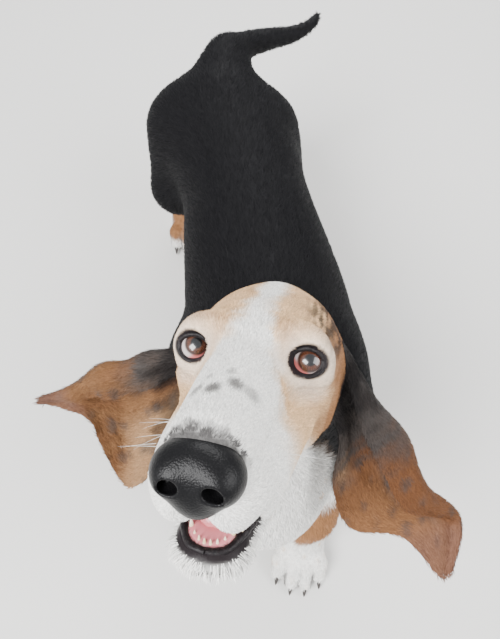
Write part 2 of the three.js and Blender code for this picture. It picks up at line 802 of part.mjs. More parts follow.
// Head with sockets, lids, ear roots and upper canines.
const NOSE_CUT = { point: [0, 14 - MUZZLE_LENGTH, -18], tilt: -12 };
const noseBlock = (grow) => {
  const block = new THREE.BoxGeometry(80 + 2 * grow, 60 + 2 * grow, 36 + 2 * grow);
  block.translate(0, -30, 0);
  block.rotateX(THREE.MathUtils.degToRad(NOSE_CUT.tilt));
  block.translate(...NOSE_CUT.point);
  return solid(block);
};
const noseForm = join(
  7,
  egg([0, 9 - MUZZLE_LENGTH, -17], [NOSE_HALF_WIDTH, 14, 17]),
  both((side) => egg(side([NOSE_HALF_WIDTH - 9.5, 6 - MUZZLE_LENGTH, -16]), [10, 12, 11.5])),
);
const headSkin = skin(headForm, [-80, -132, -110], [80, 150, 60], [8.4, 9.2, 8.4]);
const stubs = Object.values(EARS).map((ear) => {
  const stub = earSheet(ear, 0, EAR_STUB, EAR_STEPS_STUB);
  return stub.transform(bodyToHead.toArray());
});
const upperCanines = [1, -1].map((sign) => solid(
  spike([sign * 18, -84, -42], [sign * 18.5, -85, -63], 4.2, [0, -2, 0], 7),
));
const lidOpening = (centre) => {
  const hole = new THREE.SphereGeometry(1, 14, 10);
  hole.scale(9.3, 12, 7.6);
  hole.applyQuaternion(new THREE.Quaternion().setFromUnitVectors(
    new THREE.Vector3(0, -1, 0),
    new THREE.Vector3(...gaze),
  ));
  hole.translate(...add(centre, scale(gaze, 13)));
  return solid(hole);
};
const lids = [[(v) => v, 1], [mirror, -1]].map(([side, sign]) => lidRing(eyePlace(side), sign));
const jawLow = [-52, -112, -118];
const jawHigh = [52, 4, -46];
const jawCell = [7.6, 7.6, 7];
const jawRoom = skin((p) => jaw(p) - JAW_ROOM, jawLow, jawHigh, jawCell)
  .intersect(sideOf([0, JAW_CUT, 0], [0, -1, 0]));
const headSolid = joined(headSkin, [...lids, ...stubs, ...upperCanines])
  .subtract(ball(eyePlace((v) => v), EYE_RADIUS + GAP))
  .subtract(ball(eyePlace(mirror), EYE_RADIUS + GAP))
  .subtract(lidOpening(eyePlace((v) => v)))
  .subtract(lidOpening(eyePlace(mirror)))
  .subtract(sideOf(headPlane.point, headPlane.normal, 0))
  .subtract(noseBlock(GAP))
  .subtract(jawRoom);
place(head, 'head', headSolid, creamCoat);

// Nose, with its two nostrils.
const nostrils = [1, -1].map((sign) => {
  const hole = new THREE.SphereGeometry(1, 12, 8);
  hole.scale(4.6, 8, 4);
  hole.translate(sign * 11, -118, -17);
  return solid(hole);
});
const noseSolid = skin(noseForm, [-32, -130, -38], [32, -80, 16], [6, 6, 5.6])
  .intersect(noseBlock(0));
place(head, 'nose', nostrils.reduce((all, hole) => all.subtract(hole), noseSolid), noseSkin);

// Eyes.
place(head, 'eye_left', ball(eyePlace((v) => v), EYE_RADIUS), eyeGlass);
place(head, 'eye_right', ball(eyePlace(mirror), EYE_RADIUS), eyeGlass);

// Lower jaw with its teeth, and the tongue that lies in it.
const freeJaw = (p) => Math.max(jaw(p), JAW_CLEARANCE - upperHead(p));
const LOWER_TEETH = 8;
const teeth = [];
for (let i = 0; i < LOWER_TEETH; i += 1) {
  const t = i / (LOWER_TEETH - 1) * 2 - 1;
  const canine = Math.abs(t) > 0.9;
  const x = t * 15;
  const y = -94 + 12 * t * t;
  const tall = canine ? 9.5 : 4.5 - 1.5 * Math.abs(t);
  teeth.push(solid(spike([x, y, -82], [x * 1.04, y - 1, -76 + tall], canine ? 3.6 : 2.3, [0, 0, 0], 5)));
}
const jawSolid = joined(skin(freeJaw, jawLow, jawHigh, jawCell), teeth)
  .intersect(sideOf([0, JAW_CUT - GAP, 0], [0, -1, 0]));
place(head, 'lower_jaw', jawSolid, whiteCoat);

const tongueForm = (p) => Math.max(
  join(6, limb([0, -26, -71], [0, -64, -75], 12, 11), egg([0, -50, -72], [13, 28, 6]))(p),
  1.4 - jaw(p),
  JAW_CLEARANCE - upperHead(p),
);
place(head, 'tongue', skin(tongueForm, [-24, -92, -100], [24, -8, -48], [5, 5.4, 4.6]), gumSkin);

// Ears.
for (const [name, ear] of Object.entries(EARS)) {
  place(dog, `ear_${name}`, earSheet(ear, EAR_STUB + 0.008, 1, EAR_STEPS_LONG), earCoat);
}

// The whole stands with the middle of its footprint over the origin.
const bounds = new THREE.Box3().setFromObject(dog);
dog.position.set(-(bounds.min.x + bounds.max.x) / 2, -(bounds.min.y + bounds.max.y) / 2, -bounds.min.z);

const model = new THREE.Group();
model.add(dog);
export default model;
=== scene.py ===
# %% [markdown]
# # A basset hound, life size, looking up
#
# A still model of a black, white and tan basset hound that stands on four
# heavy paws and throws its head back to look at somebody tall. The solids
# give its sizes. This lesson puts a living surface on them: one skin with
# its folds and markings, wet eyes, a pebbled nose, an open mouth, and short
# fur made of real mesh. It starts with the frame that holds every size.

# %% The frame
import math

import bpy
import numpy as np
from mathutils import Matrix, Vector


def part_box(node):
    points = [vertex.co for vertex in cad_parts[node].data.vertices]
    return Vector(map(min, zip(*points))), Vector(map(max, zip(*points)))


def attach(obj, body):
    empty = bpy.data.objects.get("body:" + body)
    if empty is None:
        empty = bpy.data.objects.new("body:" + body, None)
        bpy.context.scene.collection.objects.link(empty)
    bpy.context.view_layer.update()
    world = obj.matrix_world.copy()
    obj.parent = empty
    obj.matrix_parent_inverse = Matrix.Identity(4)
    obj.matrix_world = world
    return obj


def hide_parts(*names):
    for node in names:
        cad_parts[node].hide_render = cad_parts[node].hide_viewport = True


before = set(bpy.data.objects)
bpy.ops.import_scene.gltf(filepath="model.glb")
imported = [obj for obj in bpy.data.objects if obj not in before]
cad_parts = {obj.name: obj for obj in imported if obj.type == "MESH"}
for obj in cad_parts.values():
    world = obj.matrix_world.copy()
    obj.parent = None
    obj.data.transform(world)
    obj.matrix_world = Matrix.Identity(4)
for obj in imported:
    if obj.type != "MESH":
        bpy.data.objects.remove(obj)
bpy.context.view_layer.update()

MM = 0.001
print("solids:", len(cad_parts))

# %% [markdown]
# ## Two frames
#
# The dog is easiest to describe in millimetres from a point on the floor
# under its withers, and its head in a frame of its own, midway between the
# eyes, because the head is turned, tipped and rolled. The eyes of the packed
# solids say where that floor point lies in the model.

# %% Body frame and head frame
EYE_RADIUS = 12.4
EYE_PLACE = np.array([38.0, 7.5, -4.0])
HEAD_PLACE = np.array([-0.3, 100.0, 524.3])
HEAD_PITCH, HEAD_YAW, HEAD_ROLL = 47.5, -18.9, -11.5


def turn(axis, degrees):
    """The matrix that turns a point about one axis."""
    c, s = math.cos(math.radians(degrees)), math.sin(math.radians(degrees))
    i, j = [(1, 2), (2, 0), (0, 1)][axis]
    made = np.eye(3)
    made[i, i] = made[j, j] = c
    made[i, j], made[j, i] = -s, s
    return made


HEAD_TURN = turn(2, HEAD_YAW) @ turn(0, -HEAD_PITCH) @ turn(1, HEAD_ROLL)


def from_head(p):
    return np.asarray(p, float) @ HEAD_TURN.T + HEAD_PLACE


def to_head(p):
    return (np.asarray(p, float) - HEAD_PLACE) @ HEAD_TURN


eye_low, eye_high = [np.array(corner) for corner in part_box("eye_left")]
eye_high[1] = eye_low[1] + 2 * EYE_RADIUS * MM
eye_middle = (eye_low + eye_high) / 2
SHIFT = eye_middle / MM - from_head(EYE_PLACE)
SHIFT[2] = 0.0
print("the body frame's origin lies at", SHIFT.round(1), "mm")

# %% [markdown]
# ## The view
#
# The dog is seen from less than a metre up, steeply down over its nose.
# The camera's place and lens come from the sizes of the head and the trunk
# in that view. It is made first, so that every trial can be set against it.

# %% The camera
FRAME_WIDTH, FRAME_HEIGHT = 500, 639
FOCAL_PIXELS = 490.0
CAMERA_HEIGHT = 830.0
CAMERA_TILT = 22.0
SENSOR = 24.0

lens = bpy.data.cameras.new("camera")
lens.sensor_fit = "VERTICAL"
lens.sensor_height = SENSOR
lens.sensor_width = SENSOR
lens.lens = FOCAL_PIXELS / FRAME_HEIGHT * SENSOR
lens.clip_start = 0.01
camera = bpy.data.objects.new("camera", lens)
bpy.context.scene.collection.objects.link(camera)
CAMERA_PLACE = np.array([0.0, 0.0, CAMERA_HEIGHT])
camera.location = (CAMERA_PLACE + SHIFT) * MM
camera.rotation_euler = (math.radians(CAMERA_TILT), 0.0, 0.0)
bpy.context.scene.camera = camera
VIEW_RIGHT = np.array([1.0, 0.0, 0.0])
VIEW_UP = turn(0, CAMERA_TILT) @ np.array([0.0, 1.0, 0.0])
VIEW_AHEAD = turn(0, CAMERA_TILT) @ np.array([0.0, 0.0, -1.0])


def sight(u, v):
    """The direction from the camera through a place in the picture."""
    across = (u - FRAME_WIDTH / 2) / FOCAL_PIXELS
    down = (v - FRAME_HEIGHT / 2) / FOCAL_PIXELS
    ray = VIEW_AHEAD + VIEW_RIGHT * across - VIEW_UP * down
    return ray / np.linalg.norm(ray)


print("lens", round(lens.lens, 2), "mm, tilt", CAMERA_TILT)

# %% [markdown]
# ## Floor and light
#
# A pale floor and large soft lamps, as in a studio with white walls. A big
# key lamp high on the dog's right draws a soft highlight on nose and eyes,
# and the white world fills the shadows.

# %% Floor, lamps and world
FLOOR_SIZE = 6.0
bpy.ops.mesh.primitive_plane_add(size=FLOOR_SIZE)
floor = bpy.context.object
floor.name = "floor"
floor_paint = bpy.data.materials.new("floor_paint")
floor_paint.use_nodes = True
paint = floor_paint.node_tree.nodes["Principled BSDF"]
paint.inputs["Base Color"].default_value = (0.62, 0.61, 0.59, 1)
paint.inputs["Roughness"].default_value = 0.8
floor.data.materials.append(floor_paint)

LAMPS = {
    "key": {"place": (-1.3, -1.1, 2.3), "size": 1.5, "watts": 165},
    "fill": {"place": (1.7, -0.6, 1.7), "size": 1.6, "watts": 62},
    "back": {"place": (0.2, 1.9, 1.8), "size": 1.4, "watts": 55},
}
LAMP_TARGET = (0, -0.15, 0.3)


def look_at(place, target):
    """The turn that points a lamp from its place at a target."""
    return (Vector(target) - Vector(place)).to_track_quat("-Z", "Y").to_euler()


for lamp_name, lamp in LAMPS.items():
    light = bpy.data.lights.new(lamp_name, "AREA")
    light.size = lamp["size"]
    light.energy = lamp["watts"]
    lamp_object = bpy.data.objects.new(lamp_name, light)
    lamp_object.location = lamp["place"]
    lamp_object.rotation_euler = look_at(lamp["place"], LAMP_TARGET)
    bpy.context.scene.collection.objects.link(lamp_object)

world = bpy.data.worlds.new("studio")
world.use_nodes = True
sky = world.node_tree.nodes["Background"]
sky.inputs["Color"].default_value = (0.93, 0.96, 1.0, 1)
sky.inputs["Strength"].default_value = 1.0
bpy.context.scene.world = world
print("lamps:", len(LAMPS))

# %% [markdown]
# ## A body from rounded forms
#
# A sculptor blocks an animal in with eggs and rolls of clay and rubs them
# together. Here each lump is a distance: negative inside, positive outside.
# Taking the smaller of two distances joins two lumps, and a soft minimum
# rubs them together. Box modelling would leave a grid of faces to place by
# hand, and metaballs can't be told how sharp a fold is, so distances it is.

# %% Forms: egg, limb, join and carve


def size_of(vectors):
    return np.sqrt(np.einsum("ij,ij->i", vectors, vectors))


def unit_rows(vectors):
    return vectors / np.maximum(size_of(vectors), 1e-6)[:, None]


def one_side(q):
    """Points of the head frame, with the right side mirrored to the left."""
    return np.stack([np.abs(q[:, 0]), q[:, 1], q[:, 2]], 1)


def egg(centre, radii, degrees=0.0):
    middle, half, spin = np.array(centre, float), np.array(radii, float), turn(2, degrees)

    def form(p):
        q = (p - middle) @ spin / half
        k0 = size_of(q) + 1e-6
        k1 = size_of(q / half) + 1e-9
        return k0 * (k0 - 1) / k1

    return form


def limb(a, b, radius_a, radius_b):
    start, axis = np.array(a, float), np.array(b, float) - np.array(a, float)

    def form(p):
        t = np.clip((p - start) @ axis / (axis @ axis), 0, 1)
        return size_of(p - start - t[:, None] * axis) - (radius_a + (radius_b - radius_a) * t)

    return form


def soft_min(a, b, k):
    h = np.maximum(k - np.abs(a - b), 0) / k
    return np.minimum(a, b) - h * h * k / 4


def join(k, *forms):
    def form(p):
        d = forms[0](p)
        for other in forms[1:]:
            d = soft_min(d, other(p), k)
        return d

    return form


def carve(k, form, tool):
    return lambda p: -soft_min(-form(p), tool(p), k)


def both(make):
    """A form on the dog's left side and its mirror image on the right."""
    return join(6, make(1), make(-1))


def smooth(x, low, high):
    """0 below low, 1 above high and an even slope between them."""
    t = np.clip((x - low) / (high - low), 0, 1)
    return t * t * (3 - 2 * t)


print("forms ready")

# %% [markdown]
# ## Trunk, legs and neck
#
# Long low barrel, deep forechest between bent forelegs, loose skin in rings
# above the paws. The sizes repeat those of the solids, so the skin follows
# them everywhere.

# %% The forms of trunk, legs and neck
WITHERS_HEIGHT = 345.0
PAW_HALF_WIDTH = 39.0
trunk = join(
    44,
    join(
        60,
        egg([24, 216, 227], [112, 192, 114]),
        egg([-4, 400, 240], [90, 150, 92]),
        egg([-42, 535, 248], [98, 104, 86], 16),
        egg([14, 46, 222], [74, 80, 84]),
        egg([20, 150, WITHERS_HEIGHT - 45], [56, 90, 42]),
    ),
    egg([97, 140, 244], [44, 84, 84], -4),
    egg([-58, 140, 240], [44, 82, 86], 8),
    limb([-40, 570, 292], [-36, 622, 316], 42, 24),
)

LEGS = {
    "front_left": {"top": [94, 100, 250], "knee": [104, 92, 172], "ankle": [86, 6, 92],
                   "paw": [77, -16, 0], "turn": -5, "radii": [52, 42, 31]},
    "front_right": {"top": [-62, 108, 250], "knee": [-76, 112, 172], "ankle": [-62, 46, 92],
                    "paw": [-58, 27, 0], "turn": 6, "radii": [52, 42, 31]},
    "hind_left": {"top": [16, 545, 245], "knee": [38, 490, 186], "ankle": [36, 582, 100],
                  "paw": [36, 566, 0], "turn": 2, "radii": [56, 46, 25]},
    "hind_right": {"top": [-97, 550, 245], "knee": [-110, 490, 188], "ankle": [-122, 574, 98],
                   "paw": [-117, 552, 0], "turn": 6, "radii": [60, 46, 25]},
}
TOES = (-1.5, -0.5, 0.5, 1.5)
TOE_PITCH = PAW_HALF_WIDTH * 0.52


def toe_lead(i):
    return 12 * (1.5 - abs(i))


def toe(i):
    x, lead = i * TOE_PITCH, toe_lead(i)
    knuckle, tip = [x * 0.86, -44 - lead * 0.4, 24], [x, -61 - lead, 10]
    return join(7, limb([x * 0.5, -14, 22], knuckle, 17, 14.5), limb(knuckle, tip, 14.5, 11.5))


PAW = join(9, egg([0, -8, 22], [PAW_HALF_WIDTH * 0.86, 34, 30]), join(3.5, *[toe(i) for i in TOES]))


def leg_form(leg):
    thigh, shank, wrist = leg["radii"]
    knee, ankle, foot = [np.array(leg[key], float) for key in ("knee", "ankle", "paw")]
    spin = turn(2, leg["turn"])
    rings = [egg(ankle + (knee - ankle) * (0.06 + 0.2 * i), [wrist * 1.1, wrist * 1.16, 9])
             for i in range(3)]
    return join(
        16,
        limb(leg["top"], knee, thigh, shank),
        limb(knee, ankle, shank * 0.93, wrist),
        limb(ankle, foot + [0, -4, 30], wrist, wrist * 1.02),
        *rings,
        lambda p: PAW((p - foot) @ spin),
    )


legs = [leg_form(leg) for leg in LEGS.values()]
neck = join(
    14,
    join(
        40,
        limb(from_head([0, 92, -38]), [13, 102, 300], 54, 84),
        limb(from_head([0, 40, -70]), [8, 40, 262], 27, 62),
    ),
    *[egg([20, 146 + 3 * i, 366 + 25 * i], [52 - 5 * i, 40, 14]) for i in range(3)],
)
body = join(30, trunk, *legs, neck)
print("legs:", len(legs))

# %% [markdown]
# ## Tail
#
# The tail swings up to the dog's left in one easy curve. A chain of limbs
# along that curve, each a little thinner than the last, joins the trunk's
# form, so tail and rump are one skin.

# %% The form of the tail
TAIL_PATH = [[-38, 606, 312], [-14, 646, 308], [28, 678, 296], [68, 702, 286], [98, 728, 284],
             [112, 748, 290]]


def spline(points, t):
    """Points on a centripetal curve through the given points, at parts t of its run."""
    p = np.array(points, float)
    p = np.vstack([2 * p[0] - p[1], p, 2 * p[-1] - p[-2]])
    spans = len(p) - 3
    made = []
    for s in np.clip(np.atleast_1d(t), 0, 1) * spans:
        i = min(int(s), spans - 1)
        a, b, c, d = p[i:i + 4]
        knots = np.cumsum([0] + [max(np.linalg.norm(q - r), 1e-6) ** 0.5
                                 for q, r in ((b, a), (c, b), (d, c))])
        u = knots[1] + (s - i) * (knots[2] - knots[1])

        def between(q, r, low, high):
            return (q * (high - u) + r * (u - low)) / (high - low)

        ab, bc, cd = [between(q, r, knots[n], knots[n + 1])
                      for n, (q, r) in enumerate(((a, b), (b, c), (c, d)))]
        abc, bcd = between(ab, bc, knots[0], knots[2]), between(bc, cd, knots[1], knots[3])
        made.append(between(abc, bcd, knots[1], knots[2]))
    return np.array(made)


TAIL_BARS = 14
TAIL_RADII = 25 - 19 * np.linspace(0, 0.97, TAIL_BARS + 1) ** 0.9
tail_points = spline(TAIL_PATH, np.linspace(0, 0.965, TAIL_BARS + 1))
tail = join(6, *[limb(tail_points[i], tail_points[i + 1], TAIL_RADII[i], TAIL_RADII[i + 1])
                 for i in range(TAIL_BARS)])
print("tail bars:", TAIL_BARS)

# %% [markdown]
# ## Head and jaw
#
# A domed narrow skull, a long deep muzzle with hanging lips, loose cheeks.
# The upper lips are two long rolls beside the muzzle, the mouth is carved
# out below them, and the jaw drops from a hinge behind the cheeks. Folds of
# loose skin run under the eyes and down the cheek: each is a shallow groove.

# %% The forms of the head
cranium = join(18, egg([0, 62, -18], [54, 66, 41]), egg([0, 112, -2], [15, 20, 14]),
               egg([0, 26, -9], [44, 38, 32]))
cheeks = both(lambda s: egg([s * 40, 34, -27], [19, 38, 29]))
jowls = both(lambda s: egg([s * 37, 50, -54], [22, 36, 30]))
brows = both(lambda s: egg([s * 30, 8, 9], [18, 14, 12]))
sockets = both(lambda s: egg([s * 38, 9, -4], [17, 13, 15]))
ear_roots = both(lambda s: egg([s * 46, 66, -34], [15, 20, 26]))
muzzle = join(
    9,
    join(14, limb([0, 12, -20], [0, -88, -20], 33, 25), limb([0, 0, -1], [0, -90, -6], 14, 12)),
    both(lambda s: join(12, limb([s * 28, -8, -44], [s * 19, -84, -36], 18, 15),
                        egg([s * 28, -44, -52], [9, 38, 23]))),
    both(lambda s: egg([s * 14, -94, -38], [14, 14, 19])),
)
palate = join(10, limb([0, -24, -64], [0, -82, -62], 19, 13), egg([0, -50, -76], [21, 52, 20]))
hollows = both(lambda s: egg([s * 50, -28, 4], [14, 20, 13]))
upper_head = carve(
    5,
    join(14, cranium, cheeks, jowls, brows, sockets, ear_roots, muzzle),
    join(4, palate, hollows),
)

mouth_floor = egg([0, -40, -65], [15, 42, 12])
jaw = carve(
    4,
    join(10, both(lambda s: limb([s * 28, 26, -72], [s * 11, -74, -84], 15, 11)),
         egg([0, -84, -85], [21, 14, 11]), limb([0, 30, -70], [0, -70, -88], 24, 12)),
    mouth_floor,
)
print("head forms: skull, muzzle, mouth and jaw")

# %% [markdown]
# ## Nose form, folds and the whole animal
#
# The nose pad is a rounded block with a bulb on each side, and its nostrils
# are carved in and run out into thin slits. Folds are grooves of a known
# depth, and that depth is added to the distance, so nothing is carved. Jaw
# and skull grow together only behind the corner of the mouth, which keeps it
# open.

# %% The form of the nose
NOSE_HALF_WIDTH = 21.0
MUZZLE_LENGTH = 113.0
pad = join(
    7,
    egg([0, 9 - MUZZLE_LENGTH, -17], [NOSE_HALF_WIDTH, 14, 17]),
    both(lambda s: egg([s * (NOSE_HALF_WIDTH - 9.0), 6 - MUZZLE_LENGTH, -18], [10.5, 12.5, 11.5])),
    egg([0, 4.5 - MUZZLE_LENGTH, -29], [11.5, 8.5, 11]),
)
nostrils = both(lambda s: join(
    3.0,
    egg([s * 10.5, -119, -18.5], [4.8, 9.5, 4.2]),
    limb([s * 13.5, -116, -20.5], [s * 21.5, -105, -21], 2.1, 0.9),
))
groove = limb([0, -124, -19], [0, -117, -44], 0.8, 1.2)
nose_form = carve(1.2, pad, join(1, nostrils, groove))

FOLD_DEPTH = 1.5


def folds(p):
    """Shallow creases of loose skin, in the head frame, as a depth in millimetres."""
    x = np.abs(p[:, 0])
    under_eye = np.exp(-((p[:, 2] + 19 + 0.012 * (x - 38) ** 2) / 2.6) ** 2) * smooth(x, 14, 30)
    under_eye *= smooth(p[:, 1], -34, -8) * (1 - smooth(p[:, 1], 20, 44))
    brow = np.exp(-((p[:, 1] - 26 - 0.02 * (x - 26) ** 2) / 3.2) ** 2) * smooth(p[:, 2], 6, 14)
    brow *= (1 - smooth(x, 34, 48)) * smooth(x, 6, 20)
    cheek = np.exp(-((p[:, 1] - 20 + 0.42 * (p[:, 2] + 40)) / 3.4) ** 2)
    cheek *= smooth(x, 30, 42) * smooth(-p[:, 2], 26, 40) * (1 - smooth(-p[:, 2], 70, 90))
    return FOLD_DEPTH * (under_eye + 0.5 * brow + 0.8 * cheek)


HINGE_K = 12.0


def head_form(p):
    """Skull, muzzle and jaw, grown together only behind the corner of the mouth."""
    k = 0.8 + (HINGE_K - 0.8) * smooth(p[:, 1], -34, -6)
    return soft_min(upper_head(p) + folds(p), jaw(p), k)


FLESH_ROOM = 220.0
HEAD_MIDDLE = np.array([0.0, 30.0, -20.0])


def whole_form(p):
    """The whole animal. The head is only worked out near the head."""
    d = soft_min(body(p), tail(p), 26)
    near = size_of(p - from_head(HEAD_MIDDLE)) < FLESH_ROOM
    if near.any():
        d[near] = soft_min(d[near], head_form(to_head(p[near])), 22)
    return d


print("head forms ready")

# %% [markdown]
# ## From distances to a mesh
#
# A net of small cells is laid over the form. Every cell that the surface
# passes through gets one point, and neighbouring points are joined by quads:
# that is the surface nets way. It gives even quads, needs no table of cases,
# and each point can then be slid along the slope until it lies exactly on
# the form. Only cells near the surface are worked out.

# %% Surface nets
CHUNK = 400000


def net_of(form, low, high, cell):
    """Points and quads of the form's surface inside a box."""
    coarse = 4
    low = np.array(low, float)
    count = (np.ceil((np.array(high) - low) / (cell * coarse)).astype(int)) * coarse + 1
    rough_count = (count - 1) // coarse + 1
    grid = np.stack(np.meshgrid(*[np.arange(n) for n in rough_count], indexing="ij"), -1)
    rough = form(low + grid.reshape(-1, 3) * (cell * coarse)).reshape(rough_count)
    near = np.abs(rough) < cell * coarse * 1.9
    block = near.copy()
    for axis in range(3):
        block |= np.roll(near, 1, axis) | np.roll(near, -1, axis)
        near = block.copy()
    value = rough.copy()
    for axis in range(3):
        block = np.repeat(block, coarse, axis)
        value = np.repeat(value, coarse, axis)
    half = coarse // 2
    cut = tuple(slice(half, half + n) for n in count)
    fine_near = block[cut]
    value = value[cut].copy()
    index = np.argwhere(fine_near)
    found = np.empty(len(index))
    for start in range(0, len(index), CHUNK):
        found[start:start + CHUNK] = form(low + index[start:start + CHUNK] * cell)
    value[fine_near] = found
    inside = value < 0
    for axis in range(3):
        edge = [slice(None)] * 3
        for end in (0, -1):
            edge[axis] = end
            inside[tuple(edge)] = False
    strides = np.array([count[1] * count[2], count[2], 1])
    total = np.zeros((int(np.prod(count)), 4))
    crossings = []
    for axis in range(3):
        first, second = [slice(None)] * 3, [slice(None)] * 3
        first[axis], second[axis] = slice(0, -1), slice(1, None)
        place = np.argwhere(inside[tuple(first)] != inside[tuple(second)])
        va = value[tuple(place.T)]
        ahead = place.copy()
        ahead[:, axis] += 1
        vb = value[tuple(ahead.T)]
        t = np.clip(va / (va - vb + 1e-12), 0.02, 0.98)
        point = place.astype(float)
        point[:, axis] += t
        u, v = (axis + 1) % 3, (axis + 2) % 3
        around = []
        for du, dv in ((0, 0), (1, 0), (1, 1), (0, 1)):
            corner = place.copy()
            corner[:, u] -= du
            corner[:, v] -= dv
            around.append(corner @ strides)
        around = np.array(around).T
        for cells in around.T:
            for part in range(3):
                total[:, part] += np.bincount(cells, point[:, part], len(total))
            total[:, 3] += np.bincount(cells, minlength=len(total))
        flip = ~inside[tuple(place.T)]
        around[flip] = around[flip][:, ::-1]
        crossings.append(around)
    used = np.flatnonzero(total[:, 3])
    number = np.full(len(total), -1)
    number[used] = np.arange(len(used))
    points = low + total[used, :3] / total[used, 3:] * cell
    return points, number[np.vstack(crossings)]


def settle(form, points, reach, rounds=3):
    """Slides points along the slope onto the surface, and gives the slopes as normals."""
    points = points.copy()
    step = 0.3
    for _ in range(rounds):
        d = form(points)
        slope = np.stack([form(points + step * np.eye(3)[i]) - d for i in range(3)], 1) / step
        length = np.maximum(size_of(slope), 0.2)
        move = np.clip(d / length, -reach, reach)
        points -= slope / length[:, None] * move[:, None]
    return points, unit_rows(slope)


def split(faces, points, chosen):
    """Splits the chosen quads in four. Their neighbours keep their shape and gain corners."""
    quads = [f for f, yes in zip(faces, chosen) if yes]
    corner = np.array(quads)
    ends = np.stack([corner, np.roll(corner, -1, 1)], -1).reshape(-1, 2)
    ends.sort(axis=1)
    keys, place = np.unique(ends[:, 0] * len(points) + ends[:, 1], return_inverse=True)
    a, b = keys // len(points), keys % len(points)
    middle = len(points) + place.reshape(-1, 4)
    centre = len(points) + len(keys) + np.arange(len(corner))
    made = [
        np.stack([corner[:, i], middle[:, i], centre, middle[:, i - 1]], 1)
        for i in range(4)
    ]
    new_points = np.vstack([points, (points[a] + points[b]) / 2, points[corner].mean(1)])
    known = dict(zip(keys.tolist(), (len(points) + np.arange(len(keys))).tolist()))
    out = np.vstack(made).tolist()
    for face, yes in zip(faces, chosen):
        if yes:
            continue
        grown = []
        for i, start in enumerate(face):
            end = face[(i + 1) % len(face)]
            grown.append(start)
            extra = known.get(min(start, end) * len(points) + max(start, end))
            if extra is not None:
                grown.append(extra)
        out.append(grown)
    return out, new_points


print("net maker ready")

# %% [markdown]
# ## Putting a mesh in the scene
#
# Every piece goes through one function: it turns millimetres of the body
# frame into metres of the model, writes colours and other numbers of each
# point as attributes for the material, and makes the piece ride.

# %% A maker of pieces
ATTRIBUTE_KINDS = {1: ("FLOAT", "value"), 3: ("FLOAT_VECTOR", "vector"), 4: ("FLOAT_COLOR", "color")}


def into_scene(name, mesh, slot):
    """A new object that rides the part's one body."""
    made = bpy.data.objects.new(name, mesh)
    bpy.context.scene.collection.objects.link(made)
    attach(made, "root")
    return made


def piece(name, points, faces, material, slot, attributes=None):
    """A new object in the scene from body-frame points in millimetres."""
    mesh = bpy.data.meshes.new(name)
    mesh.from_pydata(((points + SHIFT) * MM).tolist(), [], faces)
    mesh.polygons.foreach_set("use_smooth", [True] * len(mesh.polygons))
    for key, values in (attributes or {}).items():
        kind, field = ATTRIBUTE_KINDS[values.shape[1] if values.ndim == 2 else 1]
        layer = mesh.attributes.new(key, kind, "POINT")
        layer.data.foreach_set(field, values.astype(np.float32).ravel())
    mesh.materials.append(material)
    mesh.update()
    return into_scene(name, mesh, slot)


def new_material(name):
    material = bpy.data.materials.new(name)
    material.use_nodes = True
    return material, material.node_tree, material.node_tree.nodes["Principled BSDF"]


def attribute_of(tree, key):
    """A node that reads a number or a colour of each point."""
    node = tree.nodes.new("ShaderNodeAttribute")
    node.attribute_name = key
    return node


def add_bump(tree, shader, height, distance, strength=1.0):
    bump = tree.nodes.new("ShaderNodeBump")
    bump.inputs["Distance"].default_value = distance
    bump.inputs["Strength"].default_value = strength
    tree.links.new(height, bump.inputs["Height"])
    tree.links.new(bump.outputs[0], shader.inputs["Normal"])
    return bump


# %% [markdown]
# ## Markings
#
# A black saddle covers back, flanks and tail. Face, throat, chest and paws
# are white, the cheeks cream, the edges of the saddle tan. A painter would
# lay one colour over another with soft ragged borders, and that is what this
# function does for any point, so that skin and fur always agree. The ragged
# borders come from a sum of waves.

# %% The colour of the coat at any point
COAT = {
    "black": (0.0062, 0.0060, 0.0068),
    "white": (0.80, 0.785, 0.75),
    "cream": (0.66, 0.43, 0.235),
    "tan": (0.27, 0.130, 0.058),
    "brown": (0.115, 0.048, 0.021),
    # Smoky grey of the coat, also laid as painted shade between the toes and along the left ear's fold.
    "smoke_and_shade": (0.050, 0.044, 0.041),
    "lip": (0.016, 0.013, 0.014),
    "gum": (0.62, 0.20, 0.22),
}
COAT = {name: np.array(value) for name, value in COAT.items()}
WAVES = 7
FORE_MIDDLE, HIND_MIDDLE = 12, -40
SMUDGES = [([6, -64, 6], 4.4, 0.8), ([-4, -72, 6], 4.2, 0.85), ([-14, -68, 4], 3.4, 0.6),
           ([15, -63, 4], 4.0, 0.5), ([1, -54, 8], 2.6, 0.5), ([-10, -58, 6], 2.2, 0.4)]
GUM_HALF_WIDTH, GUM_FRONT = 13.0, -79.0
HEAD_BORDER = 128.0
BORDER_BACK, BORDER_DOWN = 0.814, 0.581


def ripple(p, length, seed):
    """A smooth random height between about -1 and 1 that changes over the given length."""
    rng = np.random.default_rng(seed)
    way = rng.normal(size=(WAVES, 3))
    way /= np.linalg.norm(way, axis=1)[:, None]
    rate = 2 * np.pi / length * rng.uniform(0.6, 1.7, WAVES)
    start = rng.uniform(0, 6.28, WAVES)
    total = np.zeros(len(p))
    for i in range(WAVES):
        total += np.sin(p @ way[i] * rate[i] + start[i])
    return total / WAVES * 1.7


def lay(colour, coat_name, amount):
    """One colour laid over the coat so far."""
    return colour + (COAT[coat_name] - colour) * np.clip(amount, 0, 1)[:, None]


def spot(p, centre, radius, soft=0.5):
    return 1 - smooth(size_of((p - np.array(centre)) / np.array(radius)), 1 - soft, 1 + soft)


def opaque(colour):
    return np.hstack([colour, np.ones((len(colour), 1))])


